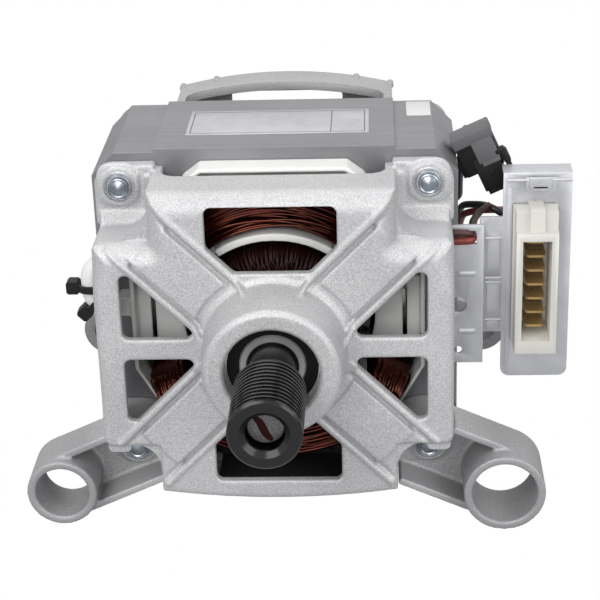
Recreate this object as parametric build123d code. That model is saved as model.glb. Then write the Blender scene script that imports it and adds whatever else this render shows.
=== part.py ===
from build123d import *
import math
import os

# Universal motor of a front-loading washing machine: two die-cast end brackets bolted over a
# laminated stator, a wound rotor on two ball bearings, a ribbed belt pulley and a plug bracket.
# Millimetres. Y runs along the shaft, from the pulley (minus) to the rear; X is to the right as
# the pulley is faced; Z is up. The origin is on the shaft axis, in the middle of the pulley.

os.makedirs("parts", exist_ok=True)

# Driving dimensions
STATOR_WIDTH = 120.0
STATOR_HEIGHT = 113.6
STACK_LENGTH = 52.2
BORE_SHARE = 0.7
POLE_BACK_X = 10.5
POLE_BACK_Z = 8.26
AIR_GAP = 0.5
PULLEY_LENGTH = 28.9
PULLEY_RADIUS = 11.33
PULLEY_TO_HUB = 10.4
HUB_REACH = 19.5
FRONT_DEPTH = 30.2
REAR_DEPTH = 44.8
LEG_REACH = 17.6
LEG_FALL = 5.4
SHAFT_RADIUS = 7.5

# Fits and clearances
FIT_GAP = 0.02
RUN_GAP = 0.03
SEAT_GAP = 0.1
LOOSE_GAP = 0.3
OVERRUN = 5.0
SINK = 0.6

# Half sizes of the stack, and the bore that its back iron leaves
STATOR_HALF_WIDTH = STATOR_WIDTH / 2
STATOR_HALF_HEIGHT = STATOR_HEIGHT / 2
BORE_RADIUS = min(STATOR_HALF_WIDTH * BORE_SHARE - POLE_BACK_X, STATOR_HALF_HEIGHT * BORE_SHARE - POLE_BACK_Z)

# Stations along the shaft
PULLEY_FRONT_Y = -PULLEY_LENGTH / 2
PULLEY_REAR_Y = PULLEY_LENGTH / 2
HUB_FACE_Y = PULLEY_REAR_Y + PULLEY_TO_HUB
FRONT_FACE_Y = HUB_FACE_Y + HUB_REACH
STATOR_FRONT_Y = FRONT_FACE_Y + FRONT_DEPTH
STATOR_REAR_Y = STATOR_FRONT_Y + STACK_LENGTH
REAR_FACE_Y = STATOR_REAR_Y + REAR_DEPTH

# End brackets: a square tub with a windowed face, cut back at the corners for the bolts
TUB_INSET_X = 2.2
TUB_INSET_Z = 4.2
TUB_HALF_WIDTH = STATOR_HALF_WIDTH - TUB_INSET_X
TUB_HALF_HEIGHT = STATOR_HALF_HEIGHT - TUB_INSET_Z
LEG_SPREAD = TUB_HALF_WIDTH + LEG_REACH
LEG_DROP = TUB_HALF_HEIGHT + LEG_FALL
TUB_WALL = 3.2
FACE_PLATE = 3.4
FRONT_RIM_BOW = 2.9
REAR_RIM_BOW = 4.9
REAR_RIM_DROP = 2.0
FRONT_BAND = 20.0
REAR_BAND = 14.6
NOTCH_WIDTH = 18.4
NOTCH_HEIGHT = 17.2
NOTCH_X = TUB_HALF_WIDTH - NOTCH_WIDTH
NOTCH_Z = TUB_HALF_HEIGHT - NOTCH_HEIGHT
NOTCH_RADIUS = 9.0
NOTCH_LIP_RADIUS = 3.0
POST_SWEEP = 5.0
EDGE_RADIUS = 1.6
BOLT_INSET_X = 9.8
BOLT_INSET_Z = 9.0
BOLT_X = STATOR_HALF_WIDTH - BOLT_INSET_X
BOLT_Z = STATOR_HALF_HEIGHT - BOLT_INSET_Z
PAD_THICKNESS = 5.5
PAD_OVERLAP = 0.8
PAD_INSET_X = 1.5
PAD_INSET_Z = 2.3
PAD_EDGE_X = STATOR_HALF_WIDTH - PAD_INSET_X
PAD_EDGE_Z = STATOR_HALF_HEIGHT - PAD_INSET_Z
PAD_CORNER = 7.0

# Windows in the bracket faces; the slanting edges lie at 45 degrees
SPOKE_HALF = 3.6
SIDE_WINDOW_WALL = 8.6
SIDE_WINDOW_RIM = 9.4
SIDE_WINDOW_EDGE = 3.15
TOP_WINDOW_POST = 18.55
TOP_WINDOW_RIM = 4.0
TOP_WINDOW_EDGE = 13.55
TOP_WINDOW_SLOPE = 8.75
SIDE_WINDOW_X = TUB_HALF_WIDTH - SIDE_WINDOW_WALL
SIDE_WINDOW_Z = NOTCH_Z - SIDE_WINDOW_RIM
SIDE_SLANT = SIDE_WINDOW_X - SIDE_WINDOW_Z - SIDE_WINDOW_EDGE
TOP_WINDOW_X = NOTCH_X - TOP_WINDOW_POST
TOP_WINDOW_Z = TUB_HALF_HEIGHT - TOP_WINDOW_RIM
TOP_SLANT = TOP_WINDOW_Z - TOP_WINDOW_EDGE - TOP_WINDOW_X
TOP_WINDOW_FLOOR = TOP_WINDOW_Z - TOP_WINDOW_EDGE - TOP_WINDOW_SLOPE
WINDOW_CORNER = 2.2
WINDOW_TIP = 2.0

# Arms between the windows: lip, groove and raised panel
LIP_WIDTH = 2.6
GROOVE_WIDTH = 1.6
GROOVE_DEPTH = 0.9
PANEL_RISE = 0.7
PANEL_START = 20.0
PANEL_ARC_RADIUS = 27.6
PANEL_END = math.hypot(NOTCH_X, NOTCH_Z)
GUSSET_WIDTH = 1.6
GUSSET_FOOT = 27.5
GUSSET_CLIMB = 10.5

# Front hub
HUB_TIP_RADIUS = 21.9
HUB_ROOT_RADIUS = 23.6
HUB_MOUTH_RADIUS = 15.15
HUB_MOUTH_CHAMFER = 0.9
HUB_EDGE = 1.4
HUB_LIP = 6.9
HUB_TAIL = 2.0

# Ball bearings, standard metric sizes 15 x 35 x 11 and 12 x 32 x 10
FRONT_BEARING_BORE = 7.5
FRONT_BEARING_OUTER = 17.5
FRONT_BEARING_WIDTH = 11.0
FRONT_BALLS = 8
REAR_BEARING_BORE = 6.0
REAR_BEARING_OUTER = 16.0
REAR_BEARING_WIDTH = 10.0
REAR_BALLS = 7
INNER_RING_SHARE = 0.32
OUTER_RING_SHARE = 0.29
BALL_SHARE = 0.295
GROOVE_GAP = 0.12
CAGE_HALF_THICKNESS = 0.5
CAGE_HALF_WIDTH = 3.4
CAGE_POCKET_GAP = 0.12
SEAL_THICKNESS = 0.8
SEAL_INSET = 0.5
SEAL_GAP = 0.15
RING_CHAMFER = 0.5

# Front snap ring and rear wave washer
SNAP_RING_THICKNESS = 1.5
SNAP_RING_DEPTH = 2.2
SNAP_GROOVE = 1.0
WAVE_THICKNESS = 0.5
WAVE_WIDTH = 2.6
WAVE_SPACE = 1.2

# Legs: open channels that carry a bush tube each
LEFT_TUBE_OUTER = 12.0
LEFT_TUBE_BORE = 9.15
LEFT_TUBE_LENGTH = 20.0
RIGHT_TUBE_OUTER = 13.8
RIGHT_TUBE_BORE = 10.95
RIGHT_TUBE_LENGTH = 22.3
TUBE_REAR_SETBACK = 1.5
LEG_SLOPE = 24.0
LEG_FLANGE = 2.5
LEG_WEB = 3.6
LEG_DEPTH = 16.5
TUBE_EDGE = 0.6

# Rear lugs
REAR_LUG_REACH = 15.2
REAR_LUG_RISE = 4.6
REAR_LUG_X = TUB_HALF_WIDTH + REAR_LUG_REACH
REAR_LUG_Z = TUB_HALF_HEIGHT - REAR_LUG_RISE
REAR_LUG_RADIUS = 10.5
REAR_LUG_BORE = 6.5
REAR_LUG_LENGTH = 14.0
REAR_LUG_AHEAD = 6.9
REAR_ARM_THICKNESS = 8.0
REAR_ARM_SETBACK = 3.0
RIM_KNOB_INSETS = (13.2, 0.6)
RIM_KNOB_RADIUS = 1.3
RIM_KNOB_SINK = 0.4
RIM_KNOB_LENGTH = 3.0

# Rear hub
REAR_HUB_RADIUS = 20.5
REAR_HUB_INWARD = 8.5
REAR_HUB_OUTWARD = 6.5
REAR_HUB_LIP = 2.0
REAR_HUB_HOLE = 12.0

# Stator stack
STACK_CHAMFER = 7.4
STACK_BAND_RISE = 1.2
SLOT_DEPTH = 18.0
SLOT_RADIUS = BORE_RADIUS + SLOT_DEPTH
POLE_HALF_SHARE = 2 / 3
POLE_HALF = BORE_RADIUS * POLE_HALF_SHARE
SHOE_THICKNESS = 3.1
SHOE_ANGLE = 28.0
BOLT_CLEAR = 0.3

# Field coils
COIL_ANGLE = 31.0
COIL_CLEAR = 5.1
COIL_INNER = BORE_RADIUS + COIL_CLEAR
COIL_TURNS = 9
COIL_PITCH = 1.42
WIRE_RADIUS = 0.48
COIL_TURN_RADIUS = 5.0
COIL_OVERHANG = 13.0
COIL_BACK = 8.0
COIL_MARGIN = 0.35
WIRE_SIDES = 6

# Insulating frames on the two faces of the stack
FRAME_PLATE = 1.4
FRAME_WALL = 1.5
FRAME_DEPTH = 9.4
FRAME_INSET_X = 8.9
FRAME_INSET_Z = 2.6
FRAME_TOP_CUT = (24.9, 4.2)
FRAME_SHOULDER_INSET = 9.9
FRAME_SIDE_CUT = 18.8
FRAME_ARC_CLEAR = 0.9
FRAME_HALF_X = TUB_HALF_WIDTH - FRAME_INSET_X
FRAME_HALF_Z = STATOR_HALF_HEIGHT - FRAME_INSET_Z
FRAME_FLAT_X = FRAME_HALF_X - FRAME_TOP_CUT[0]
FRAME_SHOULDER_X = NOTCH_X - FRAME_SHOULDER_INSET
FRAME_SHOULDER_Z = FRAME_HALF_Z - FRAME_TOP_CUT[1]
FRAME_FLAT_Z = NOTCH_Z - FRAME_SIDE_CUT
FRAME_ARC_RADIUS = BORE_RADIUS + FRAME_ARC_CLEAR
FRAME_ARC_ANGLE = 34.0
FRAME_ARC_DEPTH = 12.4
FRAME_ARC_WALL = 2.5
LINER_HALF = 13.0
LINER_SLIT = (1.4, 21.0)
LINER_SLIT_INSET = 5.0
FRAME_LUG = (4.4, 7.6, 7.0)
FRAME_LUG_SHARE = 0.1554
FRAME_LUG_Z = NOTCH_Z * FRAME_LUG_SHARE

# Bolts through both brackets and the stack
BOLT_RADIUS = 3.0
BOLT_FLANGE_RADIUS = 5.4
BOSS_RING_INNER = 5.8
BOSS_RING_OUTER = 6.6
BOSS_RING_HEIGHT = 0.9
BOLT_FLANGE = 1.4
BOLT_HEAD_RADIUS = 4.1
BOLT_HEAD = 2.2
BOLT_CONE = 2.2
BOLT_CONE_TIP = 0.6
NUT_ACROSS = 10.0
NUT_HEIGHT = 5.0
WASHER_RADIUS = 6.0
WASHER_THICKNESS = 1.2
BOLT_STICKOUT = 2.0

# Shaft
PULLEY_BORE = 6.0
SHAFT_RECESS = 6.0
SHAFT_TIP_CHAMFER = 0.65
SHAFT_TAIL_RADIUS = 4.0

# Pulley with a J-profile ribbed belt face
RIB_PITCH = 2.34
RIB_DEPTH = 1.6
RIB_COUNT = 11
RIB_TIP_SHARE = 0.3
RIB_LEAD = 1.7
PULLEY_EDGE = 0.7
PULLEY_MOUTH_CHAMFER = 1.6

# Rotor
ROTOR_SETBACK = 1.0
ROTOR_SLOTS = 24
ROTOR_SLOT_WIDTH = 2.2
ROTOR_SLOT_SHARE = 0.468
ROTOR_SLOT_DEPTH = (BORE_RADIUS - AIR_GAP - SHAFT_RADIUS) * ROTOR_SLOT_SHARE
WINDING_INSET = 3.0
WINDING_OUTER = BORE_RADIUS - WINDING_INSET
WINDING_INNER = 8.6
WINDING_LENGTH = 15.0
WINDING_ROUND = 4.5
WINDING_SHOULDER_SHARE = 0.3

# Commutator
COMMUTATOR_RADIUS = 17.0
COMMUTATOR_LENGTH = 20.0
COMMUTATOR_BARS = 24
BAR_DEPTH = 3.4
BAR_GAP = 0.6
RISER_HEIGHT = 1.6
RISER_LENGTH = 2.4
COMMUTATOR_SETBACK = 13.0

# Brush gear
BRUSH_WIDTH = 12.0
BRUSH_THICKNESS = 5.0
BRUSH_CONTACT_GAP = 0.3
BRUSH_SIDE_GAP = 0.3
BRUSH_TRAVEL = 3.0
HOLDER_WALL = 2.6
HOLDER_CLEAR = 1.6
HOLDER_CAP = 3.0
HOLDER_SIDE_GAP = 0.4
HOLDER_FOOT_SETBACK = 18.2
SPRING_LENGTH = 11.9
HOLDER_OUTER_X = TUB_HALF_WIDTH - TUB_WALL - HOLDER_SIDE_GAP
HOLDER_FOOT_X = HOLDER_OUTER_X - HOLDER_FOOT_SETBACK
BRUSH_LENGTH = HOLDER_OUTER_X - HOLDER_CAP - SPRING_LENGTH - COMMUTATOR_RADIUS - BRUSH_CONTACT_GAP
HOLDER_FOOT_HALF = 3.3
HOLDER_FOOT_LENGTH = 14.0
SPRING_RADIUS = 2.0
SPRING_WIRE = 0.5
HOLDER_SCREW_RADIUS = 1.7
HOLDER_SCREW_HEAD = 3.3
HOLDER_SCREW_HEAD_HEIGHT = 2.0
HOLDER_SCREW_DEPTH = 6.0

# Speed sensor behind the rear bearing
MAGNET_RADIUS = 8.0
MAGNET_LENGTH = 8.0
MAGNET_SETBACK = 2.5
SENSOR_COIL_RADIUS = 14.5
SENSOR_COIL_BORE = 9.5
SENSOR_COIL_LENGTH = 8.0
SENSOR_COVER_WALL = 1.6
SENSOR_COVER_FLANGE = 2.0
SENSOR_COVER_FLANGE_RADIUS = 20.0
SENSOR_COVER_DEPTH = 12.5
SENSOR_SCREW_RADIUS = 1.2
SENSOR_SCREW_CIRCLE = 18.1
SENSOR_SCREW_DEPTH = 4.0
SENSOR_SCREW_HEAD = 1.6
SENSOR_SCREW_HEAD_HEIGHT = 1.4

# Plug bracket, pressed from galvanised sheet
SHEET = 1.2
STRIP_SEAT = 9.0
STRIP_REACH = 8.6
STRIP_INNER_X = STATOR_HALF_WIDTH - STRIP_SEAT
STRIP_OUTER_X = STATOR_HALF_WIDTH + STRIP_REACH
STRIP_BOTTOM_Z = -19.5
STRIP_TOP_DROP = 4.9
STRIP_TOP_Z = NOTCH_Z - STRIP_TOP_DROP
STRIP_WINDOW = (5.4, 4.6)
STRIP_WINDOW_DROP = 4.3
STRIP_WINDOW_Z = STRIP_TOP_Z - STRIP_WINDOW_DROP
STRIP_HOLE_SHIFT = 0.3
STRIP_HOLE_X = STATOR_HALF_WIDTH + STRIP_HOLE_SHIFT
STRIP_HOLE_RADIUS = 2.8
STRIP_HOLE_Z = 2.0
STRIP_SMALL_HOLE_RADIUS = 1.4
STRIP_SMALL_HOLE_Z = -14.8
STRIP_SCREW_INSET = 5.0
STRIP_SCREW_X = STATOR_HALF_WIDTH - STRIP_SCREW_INSET
STRIP_SCREW_Z = (-8.0, 14.0)
STRIP_SCREW_RADIUS = 1.6
STRIP_SCREW_HEAD = 2.9
STRIP_SCREW_HEAD_HEIGHT = 1.8
STRIP_SCREW_DEPTH = 6.0
BRACKET_JOG = 3.2
ARM_RISE = 1.5
ARM_TOP_Z = STRIP_TOP_Z + ARM_RISE
ARM_BOTTOM_Z = -9.5
PANEL_EMBOSS = 0.6
PANEL_EDGES_Z = (31.0, 25.8, 11.6, 10.0, -3.6, -5.2)
PLATE_REACH = 14.9
PLATE_WIDTH = 22.5
PLATE_LEFT_X = STATOR_HALF_WIDTH + PLATE_REACH
PLATE_RIGHT_X = PLATE_LEFT_X + PLATE_WIDTH
PLATE_TOP_Z = 47.4
PLATE_BOTTOM_Z = -26.2
PLATE_CORNER = 3.0
TOP_FLANGE_DEPTH = 8.4
LANCE_HALF = 3.6
LANCE_DROP = 4.2
LANCE_SLOT = 0.6
LANCE_INSET = 12.1
BEAD_INSET = 2.1
PANEL_ROUND = 1.2
LANCE_X = PLATE_LEFT_X + LANCE_INSET
BEAD_X = PLATE_LEFT_X + BEAD_INSET
BEAD_HALF = 0.8
BEAD_TOP_Z = 42.5
BEAD_BOTTOM_Z = -22.0

# Plug housing and its seven blades on a 5 mm pitch
PLUG_INSET = 10.6
PLUG_X = PLATE_LEFT_X + PLUG_INSET
PLUG_WIDTH = 13.7
PLUG_TOP_Z = 36.6
PLUG_BOTTOM_Z = -12.6
PLUG_AHEAD = 11.5
PLUG_RIB = 0.5
PLUG_BEHIND = 6.0
SOCKET_WIDTH = 9.4
SOCKET_TOP_Z = 27.6
SOCKET_BOTTOM_Z = -8.1
SOCKET_FLOOR = 2.0
LATCH_WIDTH = 4.9
LATCH_RISE = 1.2
LATCH_PROUD = 1.6
PLUG_STEP_Z = 27.6
PLUG_STEP_DEPTH = 3.0
BLADE_COUNT = 7
BLADE_PITCH = 5.0
BLADE_MIDDLE_Z = 10.5
BLADE_WIDTH = 6.3
BLADE_THICKNESS = 0.8
BLADE_RECESS = 5.0
BLADE_TAIL = 3.0
BLADE_POINT = 0.8

# In-line connector clipped above the plug bracket
CLIP_TILT = 25.0
CLIP_SHIFT = 8.7
CLIP_X = PLATE_LEFT_X - CLIP_SHIFT
CLIP_Z = 56.6
CLIP_BEHIND = 0.4
CLIP_BODY = (11.4, 10.0, 8.8)
CLIP_LID = (8.4, 10.8, 1.6)
CLIP_PLUG = (5.2, 7.6, 15.5)
CLIP_PLUG_SHIFT = (3.0, 11.4)
CLIP_LATCH = (1.6, 4.6, 12.0)
CLIP_LATCH_SHIFT = (6.9, 8.4)
CLIP_EDGE = 0.7
STRAP_WIDTH = 4.4
STRAP_REACH = 4.6
STRAP_THICKNESS = 1.4
STRAP_LINK = 2.2

# Sleeved lead at the left, in the gap between the front bracket and the stack
SLEEVE_RADIUS = 3.4
SLEEVE_RISE_SHARE = 0.4237
SLEEVE_RISE = NOTCH_Z * SLEEVE_RISE_SHARE
SLEEVE_BEND_SHARE = 0.3733
SLEEVE_BEND = SLEEVE_RISE * SLEEVE_BEND_SHARE
SLEEVE_REACH = 13.2
TIE_SLACK = 0.45
TIE_WIDTH = 2.4
TIE_THICKNESS = 1.0
TIE_HEAD = (4.4, 4.6, 4.4)
TIE_DROP = 1.2

# Leads from the plug and the in-line connector to the rear winding frame
LEAD_RADIUS = 1.2
LEAD_END_BACK = 6.4
LEAD_END_Z = (3.0, 9.0, 15.0)
ARC_SHARE = 0.45
LEAD_TURN_INSET = 3.0

# Lead routes: reach out of the stack's side, share of the stack's length from its front, height
RED_ROUTE = ((25.5, 0.334, 25.5), (19.0, 0.44, 26.5), (9.0, 0.449, 26.5), (3.4, 0.564, 23.0),
             (2.8, 0.775, 16.0), (3.0, 1.024, 7.0))
BLACK_ROUTE = ((25.5, 0.363, 20.5), (19.5, 0.354, 24.0), (11.5, 0.373, 29.8), (4.0, 0.507, 27.5),
               (2.8, 0.737, 22.0), (3.0, 1.024, 13.0))
CLIP_ROUTE = ((2.4, 0.583, 42.0), (2.4, 0.794, 31.0), (3.0, 1.024, 20.0))


def prism(sketch, start, end):
    """Extrudes a sketch drawn in X and Z from one station along the shaft to another."""
    return extrude(Plane.XZ.offset(-start) * sketch, amount=start - end)


def turned(points):
    """Turns a closed outline of (radius, station) points about the shaft axis."""
    return revolve(make_face(Polyline(*points, close=True)), Axis.Y)


def ring(inner, outer, start, end):
    """A plain ring about the shaft axis."""
    return turned([(inner, start), (outer, start), (outer, end), (inner, end)])


def rod(x, z, radius, start, end):
    """A round bar parallel to the shaft."""
    return prism(Pos(x, z) * Circle(radius), start, end)


def block(x0, x1, y0, y1, z0, z1):
    """A box between two corners."""
    return Pos((x0 + x1) / 2, (y0 + y1) / 2, (z0 + z1) / 2) * Box(abs(x1 - x0), abs(y1 - y0), abs(z1 - z0))


def corners():
    """The signs of the four corners of the motor, seen from the pulley."""
    return [(-1, 1), (1, 1), (-1, -1), (1, -1)]


def round_vertices(sketch, x, z, radius):
    """Rounds the corners of a sketch that lie at plus or minus x and z."""
    near = [v for v in sketch.vertices() if abs(abs(v.X) - x) < SEAT_GAP and abs(abs(v.Y) - z) < SEAT_GAP]
    return fillet(near, radius)


# Bracket shell, built with its face at zero and its seats at the given depth

def tub_outline(bow_side, bow_rise, drop):
    """Outline of the tub: a rectangle bowed on one side from a chord set in by drop, corners cut back for the bolts."""
    shape = Sketch() + Rectangle(TUB_HALF_WIDTH * 2, TUB_HALF_HEIGHT * 2)
    cut_x = TUB_HALF_WIDTH - NOTCH_X + OVERRUN
    cut_z = TUB_HALF_HEIGHT - NOTCH_Z + OVERRUN
    for sx, sz in corners():
        shape -= Pos(sx * (NOTCH_X + cut_x / 2), sz * (NOTCH_Z + cut_z / 2)) * Rectangle(cut_x, cut_z)
    shape = round_vertices(shape, NOTCH_X, NOTCH_Z, NOTCH_RADIUS)
    shape = round_vertices(shape, TUB_HALF_WIDTH, NOTCH_Z, NOTCH_LIP_RADIUS)
    edge = bow_side * (TUB_HALF_HEIGHT - drop)
    shape -= Pos(0, edge + bow_side * TUB_HALF_WIDTH) * Rectangle(TUB_HALF_WIDTH * 2, TUB_HALF_WIDTH * 2)
    bow = ThreePointArc((-NOTCH_X, edge), (0, edge + bow_side * bow_rise), (NOTCH_X, edge))
    return shape + make_face(bow + Line((NOTCH_X, edge), (-NOTCH_X, edge)))


def face_windows():
    """The six windows of a bracket face as one sketch."""
    side_tip = SIDE_SLANT + SPOKE_HALF
    side_shoulder = SIDE_SLANT + SIDE_WINDOW_Z
    top_shoulder = TOP_SLANT + TOP_WINDOW_X
    top_foot = TOP_WINDOW_FLOOR - TOP_SLANT
    sketch = Sketch()
    for sx, sz in corners():
        side = make_face(Polyline((sx * side_tip, sz * SPOKE_HALF), (sx * SIDE_WINDOW_X, sz * SPOKE_HALF),
                                  (sx * SIDE_WINDOW_X, sz * SIDE_WINDOW_Z),
                                  (sx * side_shoulder, sz * SIDE_WINDOW_Z), close=True))
        blunt = [v for v in side.vertices() if abs(v.X) > side_tip + WINDOW_TIP and abs(v.X) > side_shoulder + SEAT_GAP]
        side = fillet(blunt, WINDOW_CORNER)
        tip = [v for v in side.vertices() if abs(abs(v.X) - side_tip) < SEAT_GAP]
        sketch += fillet(tip, WINDOW_TIP)
    for sz in (1, -1):
        outline = [(-TOP_WINDOW_X, sz * TOP_WINDOW_Z), (TOP_WINDOW_X, sz * TOP_WINDOW_Z),
                   (TOP_WINDOW_X, sz * top_shoulder), (top_foot, sz * TOP_WINDOW_FLOOR),
                   (-top_foot, sz * TOP_WINDOW_FLOOR), (-TOP_WINDOW_X, sz * top_shoulder)]
        window = make_face(Polyline(*outline, close=True))
        sketch += fillet(window.vertices(), WINDOW_CORNER)
    return sketch


def arm_strips(low, high, start, end):
    """Four mirrored strips along the diagonals, at offsets measured towards the side windows."""
    strip = Pos((start + end) / 2, -(low + high) / 2) * Rectangle(end - start, high - low)
    upper_right = Rot(0, 0, math.degrees(math.atan2(1, 1))) * strip
    upper = upper_right + mirror(upper_right, Plane.YZ)
    return upper + mirror(upper, Plane.XZ)


def bracket_shell(depth, band, bow_side, bow_rise, drop):
    """Tub, windows, arm relief, corner posts and bolt pads; face at zero, open towards plus Y."""
    outline = tub_outline(bow_side, bow_rise, drop)
    hollow = offset(outline, amount=-TUB_WALL, kind=Kind.INTERSECTION)
    shell = prism(outline, 0, depth) - prism(hollow, FACE_PLATE, depth + OVERRUN)
    lead = [e for e in shell.edges() if e.bounding_box().max.Y < SEAT_GAP]
    shell = fillet(lead, EDGE_RADIUS)
    gap_x = NOTCH_X - TUB_WALL
    gap_z = NOTCH_Z - TUB_WALL
    tall = (TUB_HALF_HEIGHT + bow_rise + OVERRUN) * 2
    wide = (TUB_HALF_WIDTH + OVERRUN) * 2
    reach = depth - band + OVERRUN
    relief_tall = Pos(0, band + reach / 2, 0) * Box(gap_x * 2, reach, tall)
    relief_wide = Pos(0, band + reach / 2, 0) * Box(wide, reach, gap_z * 2)
    sweep_tall = relief_tall.edges().filter_by(Axis.Z).sort_by(Axis.Y)[:2]
    sweep_wide = relief_wide.edges().filter_by(Axis.X).sort_by(Axis.Y)[:2]
    shell -= fillet(sweep_tall, POST_SWEEP)
    shell -= fillet(sweep_wide, POST_SWEEP)
    pad_x = (NOTCH_X - PAD_OVERLAP + PAD_EDGE_X) / 2
    pad_z = (NOTCH_Z - PAD_OVERLAP + PAD_EDGE_Z) / 2
    pad_w = PAD_EDGE_X - NOTCH_X + PAD_OVERLAP
    pad_h = PAD_EDGE_Z - NOTCH_Z + PAD_OVERLAP
    for sx, sz in corners():
        pad = Sketch() + Pos(sx * pad_x, sz * pad_z) * Rectangle(pad_w, pad_h)
        pad = round_vertices(pad, PAD_EDGE_X, PAD_EDGE_Z, PAD_CORNER)
        shell += prism(pad, depth - PAD_THICKNESS, depth)
    low = -TOP_SLANT / math.sqrt(2)
    high = SIDE_SLANT / math.sqrt(2)
    panel = arm_strips(low + LIP_WIDTH + GROOVE_WIDTH, high - LIP_WIDTH - GROOVE_WIDTH, PANEL_START, PANEL_END)
    panel -= Circle(PANEL_ARC_RADIUS)
    shell += prism(panel & outline, -PANEL_RISE, FACE_PLATE)
    grooves = arm_strips(low + LIP_WIDTH, low + LIP_WIDTH + GROOVE_WIDTH, PANEL_START, PANEL_END)
    grooves += arm_strips(high - LIP_WIDTH - GROOVE_WIDTH, high - LIP_WIDTH, PANEL_START, PANEL_END)
    shell -= prism(grooves & outline, -PANEL_RISE - SINK, GROOVE_DEPTH)
    shell -= prism(face_windows(), -OVERRUN, FACE_PLATE + OVERRUN)
    for sx, sz in corners():
        shell -= rod(sx * BOLT_X, sz * BOLT_Z, BOLT_RADIUS + BOLT_CLEAR, 0, depth + OVERRUN)
    return shell


def arm_gussets():
    """Low ribs that run from the arms up the side of the front hub."""
    low = -TOP_SLANT / math.sqrt(2) + LIP_WIDTH / 2
    high = SIDE_SLANT / math.sqrt(2) - LIP_WIDTH / 2
    profile = make_face(Polyline((HUB_TIP_RADIUS - GUSSET_WIDTH, SINK), (GUSSET_FOOT, SINK), (GUSSET_FOOT, 0),
                                 (HUB_TIP_RADIUS - GUSSET_WIDTH, -GUSSET_CLIMB), close=True))
    ribs = []
    for across in (low, high):
        along = math.sqrt(GUSSET_FOOT ** 2 - across ** 2) - GUSSET_FOOT
        rib = extrude(profile, amount=GUSSET_WIDTH / 2, both=True)
        for sx, sz in corners():
            tilt = math.degrees(math.atan2(1, 1))
            quarter = Rot(0, -tilt, 0) * Pos(along, 0, -across) * rib
            if sx < 0:
                quarter = mirror(quarter, Plane.YZ)
            if sz < 0:
                quarter = mirror(quarter, Plane.XY)
            ribs.append(quarter)
    return ribs


def leg_lines(side, outer):
    """Corner points of a leg's outline, from the bush tube to the bolt pad."""
    slope = math.radians(LEG_SLOPE)
    nx = math.sin(slope)
    nz = math.cos(slope)
    top = (-LEG_SPREAD - outer * nx, -LEG_DROP + outer * nz)
    bottom = (-LEG_SPREAD + outer * nx, -LEG_DROP - outer * nz)
    meet_x = top[0] + (-NOTCH_Z - top[1]) / math.tan(slope)
    foot_z = bottom[1] + (-NOTCH_X - bottom[0]) * math.tan(slope)
    points = [top, (meet_x, -NOTCH_Z), (-NOTCH_X, -NOTCH_Z), (-NOTCH_X, foot_z), bottom]
    return [(-side * px, pz) for px, pz in points]


def leg(side, outer, bore, length):
    """A cast leg: rear web, two flanges and the bush tube, at the lower corner of the given side."""
    tube_rear = STATOR_FRONT_Y - TUBE_REAR_SETBACK
    x = side * LEG_SPREAD
    top, meet, inner_top, inner_foot, bottom = leg_lines(side, outer)
    web = make_face(Polyline(top, meet, inner_top, inner_foot, bottom, close=True))
    body = prism(web, tube_rear - LEG_WEB, tube_rear)
    slope = math.radians(LEG_SLOPE)
    drop_x = side * LEG_FLANGE * math.sin(slope)
    drop_z = LEG_FLANGE * math.cos(slope)
    upper = make_face(Polyline(top, meet, (meet[0] - drop_x, meet[1] - drop_z), (top[0] - drop_x, top[1] - drop_z),
                               close=True))
    lower = make_face(Polyline(bottom, inner_foot, (inner_foot[0] + drop_x, inner_foot[1] + drop_z),
                               (bottom[0] + drop_x, bottom[1] + drop_z), close=True))
    body += prism(upper, tube_rear - LEG_DEPTH, tube_rear)
    body += prism(lower, tube_rear - LEG_DEPTH, tube_rear)
    body += rod(x, -LEG_DROP, outer, tube_rear - length, tube_rear)
    body -= rod(x, -LEG_DROP, bore, tube_rear - length - OVERRUN, tube_rear + OVERRUN)
    rims = [e for e in body.edges().filter_by(GeomType.CIRCLE)
            if abs(e.radius - bore) < SEAT_GAP and abs(e.arc_center.X - x) < SEAT_GAP]
    return chamfer(rims, TUBE_EDGE)


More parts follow.
